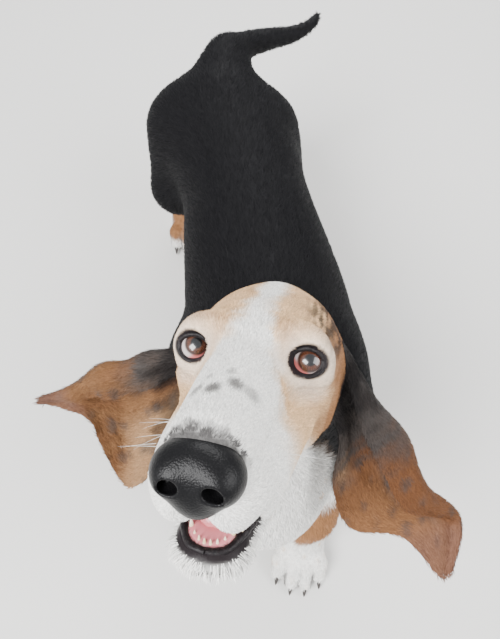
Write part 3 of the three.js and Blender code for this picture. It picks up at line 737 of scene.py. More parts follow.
def body_colour(p):
    """Saddle, belly, chest and legs, in the body frame, with painted shade between the toes."""
    x, y, z = p.T
    rag = ripple(p, 46, 3) * 7 + ripple(p, 15, 4) * 2.5
    colour = np.tile(COAT["white"], (len(p), 1))
    freckles = smooth(ripple(p, 19, 8), 0.62, 0.9) * (1 - smooth(y, 60, 90)) * (1 - smooth(z, 300, 330))
    colour = lay(colour, "cream", 0.6 * freckles)
    middle = 14 - 0.06 * np.maximum(y - 200, 0)
    side = np.abs(x - middle)
    saddle_low = 150 + 26 * smooth(y, 60, -30) - 30 * smooth(y, 380, 520) + rag
    front_edge = smooth(y, 52 + rag * 0.6, 66 + rag * 0.6)
    colour = lay(colour, "tan", smooth(z, saddle_low - 44, saddle_low - 22) * front_edge)
    colour = lay(colour, "black", smooth(z, saddle_low - 8, saddle_low + 8) * front_edge)
    nape = smooth(z, 330, 350) * smooth(y, 66 + rag, 84 + rag)
    colour = lay(colour, "black", nape)
    flank = smooth(side, 56, 74) * smooth(z, 168 + rag, 186 + rag) * smooth(y, 26, 46)
    colour = lay(colour, "black", flank)
    hind = smooth(y, 440, 470)
    colour = lay(colour, "tan", hind * smooth(z, 18 + rag, 34 + rag) * (1 - smooth(z, 150, 176)))
    colour = lay(colour, "black", hind * smooth(z, 146 + rag, 166 + rag))
    fore_band = smooth(z, 62 + rag, 74 + rag) * (1 - smooth(z, 132, 150))
    fore_band *= (1 - hind) * smooth(np.abs(x - FORE_MIDDLE), 40, 54) * (1 - smooth(y, 180, 220))
    colour = lay(colour, "tan", fore_band)
    # Painted shade: dark lines between the toes, where they press together.
    for leg in LEGS.values():
        local = (p - leg["paw"]) @ turn(2, leg["turn"])
        gap = np.min(np.abs(local[:, :1] - TOE_PITCH * np.array([-1.0, 0.0, 1.0])), axis=1)
        toe_gap_shade_area = (1 - smooth(local[:, 1], -50, -42)) * (1 - smooth(z, 26, 38)) * (size_of(local) < 110)
        colour = lay(colour, "smoke_and_shade", 0.8 * toe_gap_shade_area * (1 - smooth(gap, 0.9, 2.8)))
    return colour


def head_colour(q):
    """Face, skull and throat, in the head frame."""
    x, y, z = q.T
    side = np.abs(x)
    mirrored = one_side(q)
    rag = ripple(q, 26, 5) * 4.0 + ripple(q, 8, 6) * 1.6
    colour = np.tile(COAT["white"], (len(q), 1))
    blaze_half = 3.5 + 0.36 * np.maximum(8 - y, 0)
    cheek = smooth(side + rag, blaze_half, blaze_half + 13)
    fade = 1 - smooth(-y, 28, 74)
    colour = lay(colour, "cream", cheek * fade)
    warm = smooth(ripple(q, 30, 12), -0.4, 0.9)
    colour = lay(colour, "tan", 0.42 * cheek * fade * warm * smooth(y, -34, 10))
    side_tan = smooth(side, 36, 54) * smooth(y, -6, 30) * (1 - smooth(z, 2, 20))
    colour = lay(colour, "tan", side_tan)
    inner_corner = spot(mirrored, [24, -6, 4], [9, 13, 10], 0.6)
    colour = lay(colour, "tan", 0.42 * inner_corner)
    spectacle = spot(mirrored, [38, 0, -4], [25, 22, 22], 0.35)
    colour = lay(colour, "white", 0.40 * spectacle)
    brow_tan = spot(q, [24, 34, 20], [20, 22, 18], 0.5) + spot(q, [-24, 40, 20], [16, 24, 18], 0.5)
    colour = lay(colour, "cream", 0.5 * brow_tan)
    rear = smooth(y + 0.35 * side + rag, 88, 100) * smooth(side, 26, 44)
    colour = lay(colour, "tan", rear)
    temple = spot(q, [54, 62, 10], [24, 52, 26], 0.35)
    strands = smooth(ripple(q * [1.0, 0.25, 1.0], 9, 41), -0.7, 0.3)
    colour = lay(colour, "black", 0.85 * temple * strands)
    back = smooth(y + 0.45 * side + rag, 106, 118)
    colour = lay(colour, "black", back)
    jowl_black = smooth(side, 22, 34) * smooth(y + rag, 34, 50) * smooth(-z, 22, 42)
    colour = lay(colour, "black", jowl_black)
    throat = smooth(-z + rag, 58, 74) * (1 - smooth(side, 34, 48)) * smooth(y, -30, 0)
    colour = lay(colour, "white", throat)
    fade_reach = 3.2 + 4.5 * (1 - smooth(side, 8, 20))
    by_pad = (1 - smooth((pad(q) + 1.4 * ripple(q, 7, 21)) / fade_reach, 0.2, 1.0)) * smooth(z, -22, -10)
    colour = lay(colour, "lip", 0.92 * by_pad)
    for centre, radius, depth in SMUDGES:
        colour = lay(colour, "smoke_and_shade", depth * spot(q, centre, [radius, radius * 1.25, 12], 0.5))
    return colour


def lip_amounts(q):
    """How much a point belongs to the black lip edge and to the pink lining."""
    x, y, z = np.abs(q[:, 0]), q[:, 1], q[:, 2]
    on_jaw = smooth(upper_head(q) - jaw(q), 0.0, 3.0) * (1 - smooth(y, -14, 2)) * smooth(-z, 62, 68)
    front_reach = np.sqrt((x / GUM_HALF_WIDTH) ** 2 + ((y - GUM_FRONT) / 10.5) ** 2) * GUM_HALF_WIDTH
    reach = np.where(y < GUM_FRONT, front_reach, x - 0.16 * (y - GUM_FRONT))
    top = smooth(z, -97.0, -91.0)
    jaw_lining = on_jaw * (1 - smooth(reach, 12.6, 13.8)) * smooth(z, -90, -86)
    jaw_edge = on_jaw * top * smooth(reach, 12.4, 13.6) * (1 - smooth(reach, 20.5, 23.5))
    roof = palate(q)
    front = (1 - smooth(y, -6, 10)) * (1 - on_jaw)
    roof_lining = (1 - smooth(roof, 0.2, 1.6)) * front
    roof_edge = (1 - smooth(roof, 3.2, 5.0)) * front * smooth(-z, 44, 50)
    return np.maximum(jaw_edge, roof_edge), np.maximum(jaw_lining, roof_lining)


def coat_colour(p):
    """The colour of the coat at points of the body frame, with 1 as the last number."""
    q = to_head(p)
    near = size_of(q - HEAD_MIDDLE) < FLESH_ROOM
    colour = body_colour(p)
    if near.any():
        back = q[near, 1] * BORDER_BACK - q[near, 2] * BORDER_DOWN
        amount = smooth(-back, -HEAD_BORDER, -HEAD_BORDER + 34)
        face = head_colour(q[near])
        colour[near] += (face - colour[near]) * amount[:, None]
    return opaque(colour)


print("coat colours:", ", ".join(COAT))

# %% [markdown]
# ## The lie of the fur
#
# Fur runs from the nose back over the skull, down the neck, back along the
# trunk and down the legs. The direction at a point is a blend of these
# streams, laid flat on the skin.

# %% Which way the hair lies
HEAD_SPAN = limb([0, 60, -20], [0, -90, -30], 0, 0)


def on_head_part(q):
    """1 on the head, 0 on the neck and body, for points of the head frame."""
    return 1 - smooth(HEAD_SPAN(q), 70, 102)


def along_skin(way, normals):
    """Directions laid flat on the skin, one unit long."""
    return unit_rows(way - normals * np.einsum("ij,ij->i", way, normals)[:, None])


def lie_of(p, normals):
    """The direction of the hair at points of the body frame."""
    q = to_head(p)
    head_part = on_head_part(q)
    back_of_head = HEAD_TURN @ np.array([0.0, 1.0, 0.0])
    x, y, z = p.T
    leg_part = (1 - smooth(z, 120, 190))
    way = np.tile([0.0, 0.86, -0.34], (len(p), 1))
    side = (x - FORE_MIDDLE)[:, None] * np.array([0.0008, 0, -0.004])
    way = way + side * np.sign(x - FORE_MIDDLE)[:, None] * np.array([0, 0, 1])
    throat = (1 - smooth(y, 20, 100))[:, None] * np.array([0.0, -0.3, -1.0])
    way = way * smooth(y, 0, 90)[:, None] + throat
    way = way * (1 - leg_part[:, None]) + leg_part[:, None] * np.array([0.0, -0.12, -1.0])
    foot = (1 - smooth(z, 30, 66))[:, None]
    way = way * (1 - foot) + foot * np.array([0.0, -1.0, -0.25])
    sideways = HEAD_TURN @ np.array([1.0, 0.0, 0.0])
    face = np.tile(back_of_head, (len(p), 1))
    face = face + np.sign(q[:, :1]) * smooth(np.abs(q[:, 0]), 4, 40)[:, None] * 0.28 * sideways
    drop = smooth(-q[:, 2], 20, 60)[:, None] * (HEAD_TURN @ np.array([0, 0, -1.0])) * 0.55
    chin_part = (smooth(-q[:, 2], 70, 84) * (1 - smooth(q[:, 1], -50, -20)))[:, None]
    chin_way = HEAD_TURN @ np.array([0, 0.1, -1.0])
    face = face * (1 - 0.9 * chin_part) + 2.0 * chin_part * chin_way
    face = face + drop
    way = way * (1 - head_part[:, None]) + face * head_part[:, None]
    return along_skin(way, normals)


print("streams of hair ready")

# %% [markdown]
# ## One skin
#
# Head, neck, trunk, legs, paws and tail share one skin, so no seam shows. It
# lies under the solids by the depth of the coat, a few millimetres on the
# trunk and one on the face. The head is split once more than the body, and
# the face again, where lids and lips need it.

# %% The skin
BODY_CELL = 6.0
COAT_DEPTH_BODY = 3.2
COAT_DEPTH_HEAD = 1.1
COAT_DEPTH_PAW = 1.0
EYE_GAZE = np.array([0.0, -0.9, 0.4])
EYE_GAZE /= np.linalg.norm(EYE_GAZE)
EYE_RIGHT = np.cross(EYE_GAZE, [0, 0, 1])
EYE_RIGHT /= np.linalg.norm(EYE_RIGHT)
EYE_UP = np.cross(EYE_RIGHT, EYE_GAZE)
LID_HALF_WIDTH, LID_HALF_HEIGHT = 10.8, 8.9
DISH_AWAY = 15.0
RIM_OUTER = 1.42
RIM_AWAY = 22


def lid_shape(q):
    """Distance from the ball's middle, along the gaze, and in rings round the opening."""
    from_eye = one_side(q) - EYE_PLACE
    away = size_of(from_eye)
    along = from_eye @ EYE_GAZE
    flat = from_eye - along[:, None] * EYE_GAZE
    right = flat @ EYE_RIGHT
    up = flat @ EYE_UP
    ring = np.sqrt((right / LID_HALF_WIDTH) ** 2 + (up / LID_HALF_HEIGHT) ** 2)
    return away, along, ring


def skin_form(p):
    """The whole form, drawn in by the coat's depth, with a dish for each eye."""
    q = to_head(p)
    near = size_of(q - HEAD_MIDDLE) < FLESH_ROOM
    d = whole_form(p)
    depth = np.full(len(p), COAT_DEPTH_BODY)
    face = on_head_part(q)
    depth += (COAT_DEPTH_HEAD - COAT_DEPTH_BODY) * face
    paws = 1 - smooth(p[:, 2], 50, 100)
    depth += (COAT_DEPTH_PAW - COAT_DEPTH_BODY) * paws * (1 - face)
    d = d + depth
    eyes = near & (np.abs(q[:, 1] - 5) < 30) & (np.abs(q[:, 2]) < 34)
    if eyes.any():
        _, along, ring = lid_shape(q[eyes])
        dish = np.sqrt((ring * 9.8) ** 2 + ((along - DISH_AWAY) * 1.25) ** 2) - 11.0
        d[eyes] = -soft_min(-d[eyes], dish, 2.5)
    return np.maximum(d, 1.0 - p[:, 2])


skin_points, skin_quads = net_of(skin_form, [-200, -150, -8], [200, 770, 620], BODY_CELL)
print("net:", len(skin_points), "points", len(skin_quads), "quads")
skin_points, skin_normals = settle(skin_form, skin_points, BODY_CELL * 0.6)
skin_faces = skin_quads.tolist()
REFINE = [
    (lambda q: size_of(q - np.array([0, 0, -30])) < 118, 1.6),
    (lambda q: (size_of(q - np.array([0, -20, -25])) < 96)
     & ((size_of(one_side(q) - EYE_PLACE) < 30)
        | (np.minimum(np.abs(palate(q)), np.abs(mouth_floor(q))) < 12)), 0.8),
]
for choose, reach in REFINE:
    middle = np.array([skin_points[f].mean(0) for f in skin_faces])
    chosen = choose(to_head(middle))
    chosen &= np.array([len(f) == 4 for f in skin_faces])
    skin_faces, skin_points = split(skin_faces, skin_points, chosen)
    skin_points, skin_normals = settle(skin_form, skin_points, reach)
print("skin:", len(skin_points), "points", len(skin_faces), "faces")

# %% [markdown]
# ## The finish of the coat
#
# Short fur is a bump of fine streaks that run with the hair, over a colour
# that comes with every point. Streaks are noise stretched lengthwise, and
# the colour is painted darker in their low parts and lighter on their high
# parts, as painted shade and light. Head, trunk and legs each have their own
# stretch, blended by weights that come with the points too. Black hair is
# glossier than white hair. Where the skin is bare and wet, at lips and lids,
# the streaks and their painted shade fade and the gloss grows.

# %% The coat's material
STREAK_SQUEEZE = 0.13
COAT_SPECULAR = 0.07


def streak_numbers(p):
    """Stretched coordinates for the three streams of hair, in metres, and their weights."""
    q = to_head(p)
    head_part = on_head_part(q)
    leg_part = 1 - smooth(p[:, 2], 120, 190)
    return {
        "HairHead": q * MM * [1, STREAK_SQUEEZE, 1],
        "HairTrunk": p * MM * [1, STREAK_SQUEEZE, 1],
        "HairLeg": p * MM * [1, 1, STREAK_SQUEEZE],
        "OnHead": head_part,
        "OnLeg": leg_part,
    }


def coat_material(name, streak_depth, rough_low, rough_high):
    material, tree, shader = new_material(name)
    nodes, link = tree.nodes, tree.links.new

    def math_node(kind, a, b):
        node = nodes.new("ShaderNodeMath")
        node.operation = kind
        for socket, value in zip(node.inputs, (a, b)):
            if isinstance(value, (int, float)):
                socket.default_value = value
            else:
                link(value, socket)
        return node.outputs[0]

    def blend(amount, a, b):
        node = nodes.new("ShaderNodeMix")
        link(amount, node.inputs["Factor"])
        link(a, node.inputs[2])
        link(b, node.inputs[3])
        return node.outputs[0]

    def streaks(key, scale):
        noise = nodes.new("ShaderNodeTexNoise")
        noise.inputs["Scale"].default_value = scale
        noise.inputs["Detail"].default_value = 3.0
        noise.inputs["Roughness"].default_value = 0.6
        link(attribute_of(tree, key).outputs["Vector"], noise.inputs["Vector"])
        return noise.outputs["Fac"]

    on_head = attribute_of(tree, "OnHead").outputs["Fac"]
    on_leg = attribute_of(tree, "OnLeg").outputs["Fac"]
    heights = []
    for scale in (620.0, 210.0):
        body_part = blend(on_leg, streaks("HairTrunk", scale), streaks("HairLeg", scale))
        heights.append(blend(on_head, body_part, streaks("HairHead", scale * 1.35)))
    fine, broad = math_node("MULTIPLY", heights[0], 0.6), math_node("MULTIPLY", heights[1], 0.4)
    height = math_node("ADD", fine, broad)
    coat = attribute_of(tree, "Coat")
    # The streaks' height also scales the colour: painted shade in their low parts, painted light on their
    # high parts.
    shade = nodes.new("ShaderNodeMapRange")
    link(height, shade.inputs["Value"])
    shade.inputs["From Min"].default_value = 0.3
    shade.inputs["From Max"].default_value = 0.7
    shade.inputs["To Min"].default_value = 0.72
    shade.inputs["To Max"].default_value = 1.2
    streak_shaded_colour = nodes.new("ShaderNodeVectorMath")
    streak_shaded_colour.operation = "SCALE"
    link(coat.outputs["Color"], streak_shaded_colour.inputs[0])
    wet = attribute_of(tree, "Wet").outputs["Fac"]
    dry = math_node("SUBTRACT", 1.0, wet)
    flat_one = math_node("MULTIPLY", math_node("SUBTRACT", shade.outputs[0], 1.0), dry)
    link(math_node("ADD", flat_one, 1.0), streak_shaded_colour.inputs["Scale"])
    link(streak_shaded_colour.outputs[0], shader.inputs["Base Color"])
    bright = nodes.new("ShaderNodeMapRange")
    link(coat.outputs["Fac"], bright.inputs["Value"])
    bright.inputs["From Min"].default_value = 0.02
    bright.inputs["From Max"].default_value = 0.4
    bright.inputs["To Min"].default_value = rough_low
    bright.inputs["To Max"].default_value = rough_high
    wet_rough = math_node("MULTIPLY", math_node("SUBTRACT", 0.22, bright.outputs[0]), wet)
    link(math_node("ADD", bright.outputs[0], wet_rough), shader.inputs["Roughness"])
    add_bump(tree, shader, math_node("MULTIPLY", height, dry), streak_depth)
    shader.inputs["Specular IOR Level"].default_value = COAT_SPECULAR
    return material


coat_on_skin = coat_material("short_coat", 0.0011, 0.5, 0.8)
print("coat material:", len(coat_on_skin.node_tree.nodes), "nodes")

# %% [markdown]
# ## The skin in its colours
#
# Colour and wetness are worked out at every point of the skin: markings
# first, then the black rims of the lids and lips and the pink lining of the
# mouth over them, with painted shade towards the back of the mouth.

# %% Skin piece


def bare_parts(p, colour):
    """Black lids and lips and the pink lining laid over the coat, with painted shade deeper in the mouth,
    and the wetness.
    """
    q = to_head(p)
    wet = np.zeros(len(p))
    near = size_of(q - np.array([0, 0, -30])) < 150
    edge, lining = lip_amounts(q[near])
    away, along, ring = lid_shape(q[near])
    rim = (1 - smooth(ring, 1.2, RIM_OUTER)) * (along > 0) * (1 - smooth(away, 18.5, RIM_AWAY))
    rim = np.maximum(rim, 1 - smooth(away, 13.2, 14.2))
    local = colour[near, :3]
    local = lay(local, "lip", np.maximum(edge, rim))
    local = lay(local, "gum", lining)
    # Painted shade: the lining grows darker towards the back of the mouth.
    mouth_shade = smooth(q[near, 1], -72, -44) * lining
    local = lay(local, "lip", mouth_shade * 0.9)
    colour[near, :3] = local
    wet[near] = np.clip(edge * 0.75 + lining + rim * 0.7, 0, 1)
    return colour, wet


skin_colour, skin_wet = bare_parts(skin_points, coat_colour(skin_points))
skin = piece("skin", skin_points, skin_faces, coat_on_skin, "coat_black",
             {"Coat": skin_colour, "Wet": skin_wet, **streak_numbers(skin_points)})
FLESH = ["torso", "neck", "head", "lower_jaw", "tail"]
FLESH += [f"{part}_{name}" for part in ("leg", "paw") for name in LEGS]
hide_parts(*FLESH)
print("skin replaces", len(FLESH), "solids")

# %% [markdown]
# ## Eyes
#
# Each eye is a ball with a clear bulge in front. Both roll up towards the
# viewer, so the white and the red haw show below. The ball's rings are laid
# round the line of sight, which lets pupil, iris and its dark rim be simple
# functions of the distance from that line.

# %% Eyeballs
IRIS_RADIUS = 7.6
PUPIL_RADIUS = 3.8
IRIS_IN_PICTURE = {"eye_right": (196.5, 342.5), "eye_left": (310.5, 360)}
EYE_RINGS, EYE_SIDES = 56, 72
FRONT_ANGLE = 1.5


def line_of_sight(centre, u, v):
    """The direction from the ball's middle to the point where the picture shows the iris."""
    ray = sight(u, v)
    offset = CAMERA_PLACE - centre
    half = ray @ offset
    gap = half * half - (offset @ offset - EYE_RADIUS ** 2)
    near_point = CAMERA_PLACE + ray * (-half - math.sqrt(max(gap, 0.0)))
    return (near_point - centre) / np.linalg.norm(near_point - centre)


def eye_material():
    material, tree, shader = new_material("wet_eye")
    coat = attribute_of(tree, "Coat")
    veins = tree.nodes.new("ShaderNodeTexNoise")
    veins.inputs["Scale"].default_value = 900.0
    mix = tree.nodes.new("ShaderNodeMix")
    mix.data_type = "RGBA"
    mix.blend_type = "MULTIPLY"
    mix.inputs["Factor"].default_value = 0.25
    tree.links.new(coat.outputs["Color"], mix.inputs[6])
    tree.links.new(veins.outputs["Color"], mix.inputs[7])
    tree.links.new(mix.outputs[2], shader.inputs["Base Color"])
    shader.inputs["Roughness"].default_value = 0.25
    shader.inputs["Coat Weight"].default_value = 1.0
    shader.inputs["Coat Roughness"].default_value = 0.02
    return material


wet_eye = eye_material()


def eyeball(name, side):
    centre = from_head(EYE_PLACE * [side, 1, 1])
    ahead = line_of_sight(centre, *IRIS_IN_PICTURE[name])
    right = np.cross(ahead, [0, 0, 1])
    right /= np.linalg.norm(right)
    up = np.cross(right, ahead)
    theta = np.linspace(0.0, math.pi, EYE_RINGS + 1)
    phi = np.linspace(0, 2 * math.pi, EYE_SIDES, endpoint=False)
    angle, turn_round = np.meshgrid(theta, phi, indexing="ij")
    angle, turn_round = angle.ravel(), turn_round.ravel()
    away = EYE_RADIUS * np.sin(angle)
    front = angle < FRONT_ANGLE
    bulge = 0.5 * np.clip(1 - (away / IRIS_RADIUS) ** 2, 0, 1) * front
    radius = (EYE_RADIUS - 0.15) + bulge
    local = (np.cos(angle)[:, None] * ahead + (np.sin(angle) * np.cos(turn_round))[:, None] * right
             + (np.sin(angle) * np.sin(turn_round))[:, None] * up)
    points = centre + local * radius[:, None]
    a = np.arange(EYE_RINGS)[:, None] * EYE_SIDES + np.arange(EYE_SIDES)
    b = np.arange(EYE_RINGS)[:, None] * EYE_SIDES + (np.arange(EYE_SIDES) + 1) % EYE_SIDES
    faces = np.stack([a, b, b + EYE_SIDES, a + EYE_SIDES], -1).reshape(-1, 4)[:, ::-1]
    fibre = 0.5 + 0.5 * np.sin(turn_round * 31 + 2.5 * np.sin(turn_round * 7))
    white = np.array([0.55, 0.47, 0.45])
    red = np.array([0.50, 0.13, 0.12])
    brown_deep, brown_lit = np.array([0.030, 0.009, 0.004]), np.array([0.085, 0.026, 0.011])
    colour = np.tile(white, (len(points), 1))
    inward = -side * (from_head([1, 0, 0]) - from_head([0, 0, 0]))
    low_inner = local @ (-0.75 * (HEAD_TURN @ EYE_UP) + 0.6 * inward)
    redness = smooth(low_inner, 0.22, 0.46)
    colour = colour + (red - colour) * redness[:, None]
    ring = np.clip(away / IRIS_RADIUS, 0, 1)
    glow = (0.35 + 0.65 * fibre) * smooth(ring, 0.3, 0.62) * (1 - smooth(ring, 0.74, 1.0))
    iris = brown_deep + (brown_lit - brown_deep) * glow[:, None]
    in_iris = front * (1 - smooth(away, IRIS_RADIUS - 0.5, IRIS_RADIUS + 0.5))
    colour = colour + (iris - colour) * in_iris[:, None]
    limbus = front * np.exp(-((away - IRIS_RADIUS) / 0.7) ** 2)
    colour = colour + (np.array([0.03, 0.014, 0.01]) - colour) * (0.85 * limbus)[:, None]
    pupil = front * (1 - smooth(away, PUPIL_RADIUS - 0.4, PUPIL_RADIUS + 0.4))
    colour = colour + (np.array([0.003, 0.003, 0.004]) - colour) * pupil[:, None]
    made = piece(name + "_ball", points, faces.tolist(), wet_eye, "eye", {"Coat": opaque(colour)})
    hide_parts(name)


eyeball("eye_left", 1)
eyeball("eye_right", -1)
print("eyes of", 2 * EYE_RADIUS, "mm")

# %% [markdown]
# ## Lids and lips
#
# A lid's rim is bare black skin as thick as a lace, and the edge of the lower
# lip is a longer lace with small scallops. Both are round tubes whose width
# changes along the way, half sunk in the skin. Cutting them into the skin's
# net would need far smaller cells.

# %% A tube of changing width


def tube(path, widths, sides=12, closed=False):
    """Points and faces of a round tube along a path."""
    path, widths = np.asarray(path, float), np.asarray(widths, float)
    if closed:
        along = np.roll(path, -1, 0) - np.roll(path, 1, 0)
    else:
        along = np.gradient(path, axis=0)
    along /= size_of(along)[:, None]
    across = np.cross(along, [0.31, 0.17, 0.93])
    across /= size_of(across)[:, None]
    up = np.cross(along, across)
    phi = np.linspace(0, 2 * math.pi, sides, endpoint=False)
    ring = np.cos(phi)[None, :, None] * across[:, None] + np.sin(phi)[None, :, None] * up[:, None]
    points = (path[:, None] + widths[:, None, None] * ring).reshape(-1, 3)
    count = len(path)
    rows = count if closed else count - 1
    faces = []
    for i in range(rows):
        a, b = i * sides, (i + 1) % count * sides
        faces += [[a + j, a + (j + 1) % sides, b + (j + 1) % sides, b + j] for j in range(sides)]
    if not closed:
        faces += [list(range(sides)), list(range((count - 1) * sides, count * sides))[::-1]]
    return points, faces


LID_TURNS = 64


def lid(side):
    """One rim round the opening, thicker above, laid on the ball."""
    angle = np.linspace(0, 2 * math.pi, LID_TURNS, endpoint=False)
    right = LID_HALF_WIDTH * np.cos(angle)
    up = LID_HALF_HEIGHT * np.sin(angle) * np.where(np.sin(angle) > 0, 0.93, 1.12)
    depth = np.sqrt((EYE_RADIUS + 1.0) ** 2 - np.minimum(right ** 2 + up ** 2, 150.0))
    flat = right[:, None] * EYE_RIGHT + up[:, None] * EYE_UP
    path = EYE_PLACE + flat + depth[:, None] * EYE_GAZE
    widths = 1.35 + 0.65 * smooth(np.sin(angle), -0.4, 0.8)
    return tube(path * [side, 1, 1], widths, closed=True)


LIP_LINE = [[0, -91.5, -78.5], [9.5, -89, -78], [16.0, -80, -76], [22.5, -62, -72.5], [28, -44, -69],
            [33, -26, -66], [35, -8, -62]]
SCALLOPS = 19


def lip(side):
    """The scalloped edge of the lower lip, from the chin to the corner of the mouth."""
    t = np.linspace(0, 1, 120)
    path = spline(LIP_LINE, t)
    wave = np.sin(t * SCALLOPS * 2 * math.pi) * smooth(t, 0.3, 0.55)
    path[:, 0] += 0.8 * wave
    path[:, 2] += 0.9 * wave
    widths = 2.3 + 0.4 * smooth(t, 0.3, 0.6) + 0.35 * wave - 1.6 * smooth(t, 0.9, 1.0)
    return tube(path * [side, 1, 1], widths)


print("scallops on each side of the lip:", SCALLOPS)

# %% [markdown]
# ## Nose
#
# A broad black pad with two comma-shaped nostrils and a groove down the
# middle. It is one more form, drawn with a finer net. Its leather is a
# pattern of small cells, which gives the pebbles their rounded tops, with
# painted shade in the grooves between them.

# %% Nose pad
NOSE_CELL = 1.1


def nose_material():
    material, tree, shader = new_material("nose_leather")
    where = tree.nodes.new("ShaderNodeTexCoord")
    cells = tree.nodes.new("ShaderNodeTexVoronoi")
    cells.inputs["Scale"].default_value = 1050.0
    tree.links.new(where.outputs["Object"], cells.inputs["Vector"])
    # Painted shade: pebble tops a little lighter, the grooves between them darker.
    shade = tree.nodes.new("ShaderNodeValToRGB")
    shade.color_ramp.elements[0].color = (0.0055, 0.0052, 0.0058, 1)
    shade.color_ramp.elements[1].color = (0.0028, 0.0028, 0.0031, 1)
    tree.links.new(cells.outputs["Distance"], shade.inputs[0])
    tree.links.new(shade.outputs[0], shader.inputs["Base Color"])
    add_bump(tree, shader, cells.outputs["Distance"], 0.0004, 0.3).invert = True
    shader.inputs["Roughness"].default_value = 0.35
    shader.inputs["Specular IOR Level"].default_value = 0.15
    return material


nose_points, nose_quads = net_of(nose_form, [-34, -134, -50], [34, -78, 14], NOSE_CELL)
nose_points, _ = settle(nose_form, nose_points, NOSE_CELL * 0.6)
nose_pad = piece("nose_pad", from_head(nose_points), nose_quads.tolist(), nose_material(), "nose_pad")
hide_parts("nose")
print("nose:", len(nose_quads), "faces")

# %% [markdown]
# ## Teeth, tongue and claws
#
# All are small hard or wet forms that grow out of the skin. A tooth or claw
# is a row of rings along a bent line, each ring smaller than the last.

# %% Spikes, teeth and claws
SPIKE_SIDES = 14


def spike(root, tip, radius, sag, rows=8, flatten=1.0):
    """Points and faces of a bent cone with a rounded tip."""
    root, tip, sag = np.array(root, float), np.array(tip, float), np.array(sag, float)
    axis = (tip - root) / np.linalg.norm(tip - root)
    across = np.cross([0.13, 0.37, 0.9], axis)
    across /= np.linalg.norm(across)
    up = np.cross(axis, across)
    t = np.linspace(0, 1, rows + 1)
    width = radius * np.sqrt(np.clip(1 - t ** 2.6, 0.0, 1)) * (1 - 0.55 * t)
    phi = np.linspace(0, 2 * math.pi, SPIKE_SIDES, endpoint=False)
    middle = root + t[:, None] * (tip - root) + np.sin(math.pi * t)[:, None] * sag * 0.5
    ring = np.cos(phi)[:, None] * across + np.sin(phi)[:, None] * up * flatten
    points = (middle[:, None, :] + width[:, None, None] * ring[None]).reshape(-1, 3)
    faces = []
    for i in range(rows):
        for j in range(SPIKE_SIDES):
            k = (j + 1) % SPIKE_SIDES
            a, b = i * SPIKE_SIDES, (i + 1) * SPIKE_SIDES
            faces.append([a + j, a + k, b + k, b + j])
    return points, faces


def gather(shapes):
    """Several shapes as one list of points and one of faces."""
    points, faces, count = [], [], 0
    for some_points, some_faces in shapes:
        points.append(some_points)
        faces += [[count + corner for corner in face] for face in some_faces]
        count += len(some_points)
    return np.vstack(points), faces


def worn_material(name, low, high, scale, roughness, bump_depth, coat=0.0, specular=0.5):
    """A material whose colour wanders between two tones, with a fine bump."""
    material, tree, shader = new_material(name)
    where = tree.nodes.new("ShaderNodeTexCoord")
    noise = tree.nodes.new("ShaderNodeTexNoise")
    noise.inputs["Scale"].default_value = scale
    noise.inputs["Detail"].default_value = 4.0
    tree.links.new(where.outputs["Object"], noise.inputs["Vector"])
    ramp = tree.nodes.new("ShaderNodeValToRGB")
    ramp.color_ramp.elements[0].position = 0.3
    ramp.color_ramp.elements[1].position = 0.7
    ramp.color_ramp.elements[0].color = (*low, 1)
    ramp.color_ramp.elements[1].color = (*high, 1)
    tree.links.new(noise.outputs["Fac"], ramp.inputs[0])
    tree.links.new(ramp.outputs[0], shader.inputs["Base Color"])
    add_bump(tree, shader, noise.outputs["Fac"], bump_depth)
    shader.inputs["Roughness"].default_value = roughness
    shader.inputs["Coat Weight"].default_value = coat
    shader.inputs["Specular IOR Level"].default_value = specular
    return material


bare_skin = worn_material("bare_skin", (0.005, 0.004, 0.0045), (0.014, 0.011, 0.012), 500, 0.42, 0.0006,
                          specular=0.16)
lid_points, lid_faces = gather([lid(side) for side in (1, -1)])
piece("lids", from_head(lid_points), lid_faces, bare_skin, "lid_skin")
lip_points, lip_faces = gather([lip(side) for side in (1, -1)])
piece("lip_edge", from_head(lip_points), lip_faces, bare_skin, "lid_skin")
print("lids and lip:", len(lid_faces) + len(lip_faces), "faces")

enamel = worn_material("enamel", (0.62, 0.48, 0.27), (0.80, 0.74, 0.60), 260, 0.25, 0.0001, 0.5)
LOWER_TEETH = 8
teeth = []
for number in range(LOWER_TEETH):
    t = number / (LOWER_TEETH - 1) * 2 - 1
    canine = abs(t) > 0.9
    x, y = 11.8 * t, -87.5 + 9 * t * t
    tall = 4.5 if canine else 1.6 - 0.8 * abs(t)
    teeth.append(spike([x, y, -84], [x * 1.04, y - 1, -73.5 + tall], 2.7 if canine else 2.1, [0, 0, 0]))
for s in (1, -1):
    teeth.append(spike([s * 18, -84, -42], [s * 18.5, -85.5, -66], 4.8, [0, -2, 0]))
tooth_points, tooth_faces = gather(teeth)
piece("teeth", from_head(tooth_points), tooth_faces, enamel, "tooth")

horn_dark = worn_material("horn_dark", (0.012, 0.010, 0.010), (0.05, 0.040, 0.034), 420, 0.4, 0.0002)
for leg_name, leg in LEGS.items():
    claws = []
    for i in TOES:
        root = np.array([i * TOE_PITCH, -66 - toe_lead(i), 13])
        tip = root + [i * 1.2, -15, -9]
        claws.append(spike(root + [0, 8, 1], tip, 5.2, [0, -2, 4], flatten=0.8))
    claw_points, claw_faces = gather(claws)
    claw_points = claw_points @ turn(2, leg["turn"]).T + leg["paw"]
    piece("claws_" + leg_name, claw_points, claw_faces, horn_dark, "claw")
print("teeth:", len(teeth), "claws:", 4 * len(TOES))

# %% [markdown]
# ## Tongue
#
# A flat wet tongue lies in the jaw behind the front teeth, with a crease
# down its middle. It is one more joined form, cut back wherever it would
# come closer to the roof of the mouth than a small room.

# %% Tongue
UPPER_ROOM = 2.0


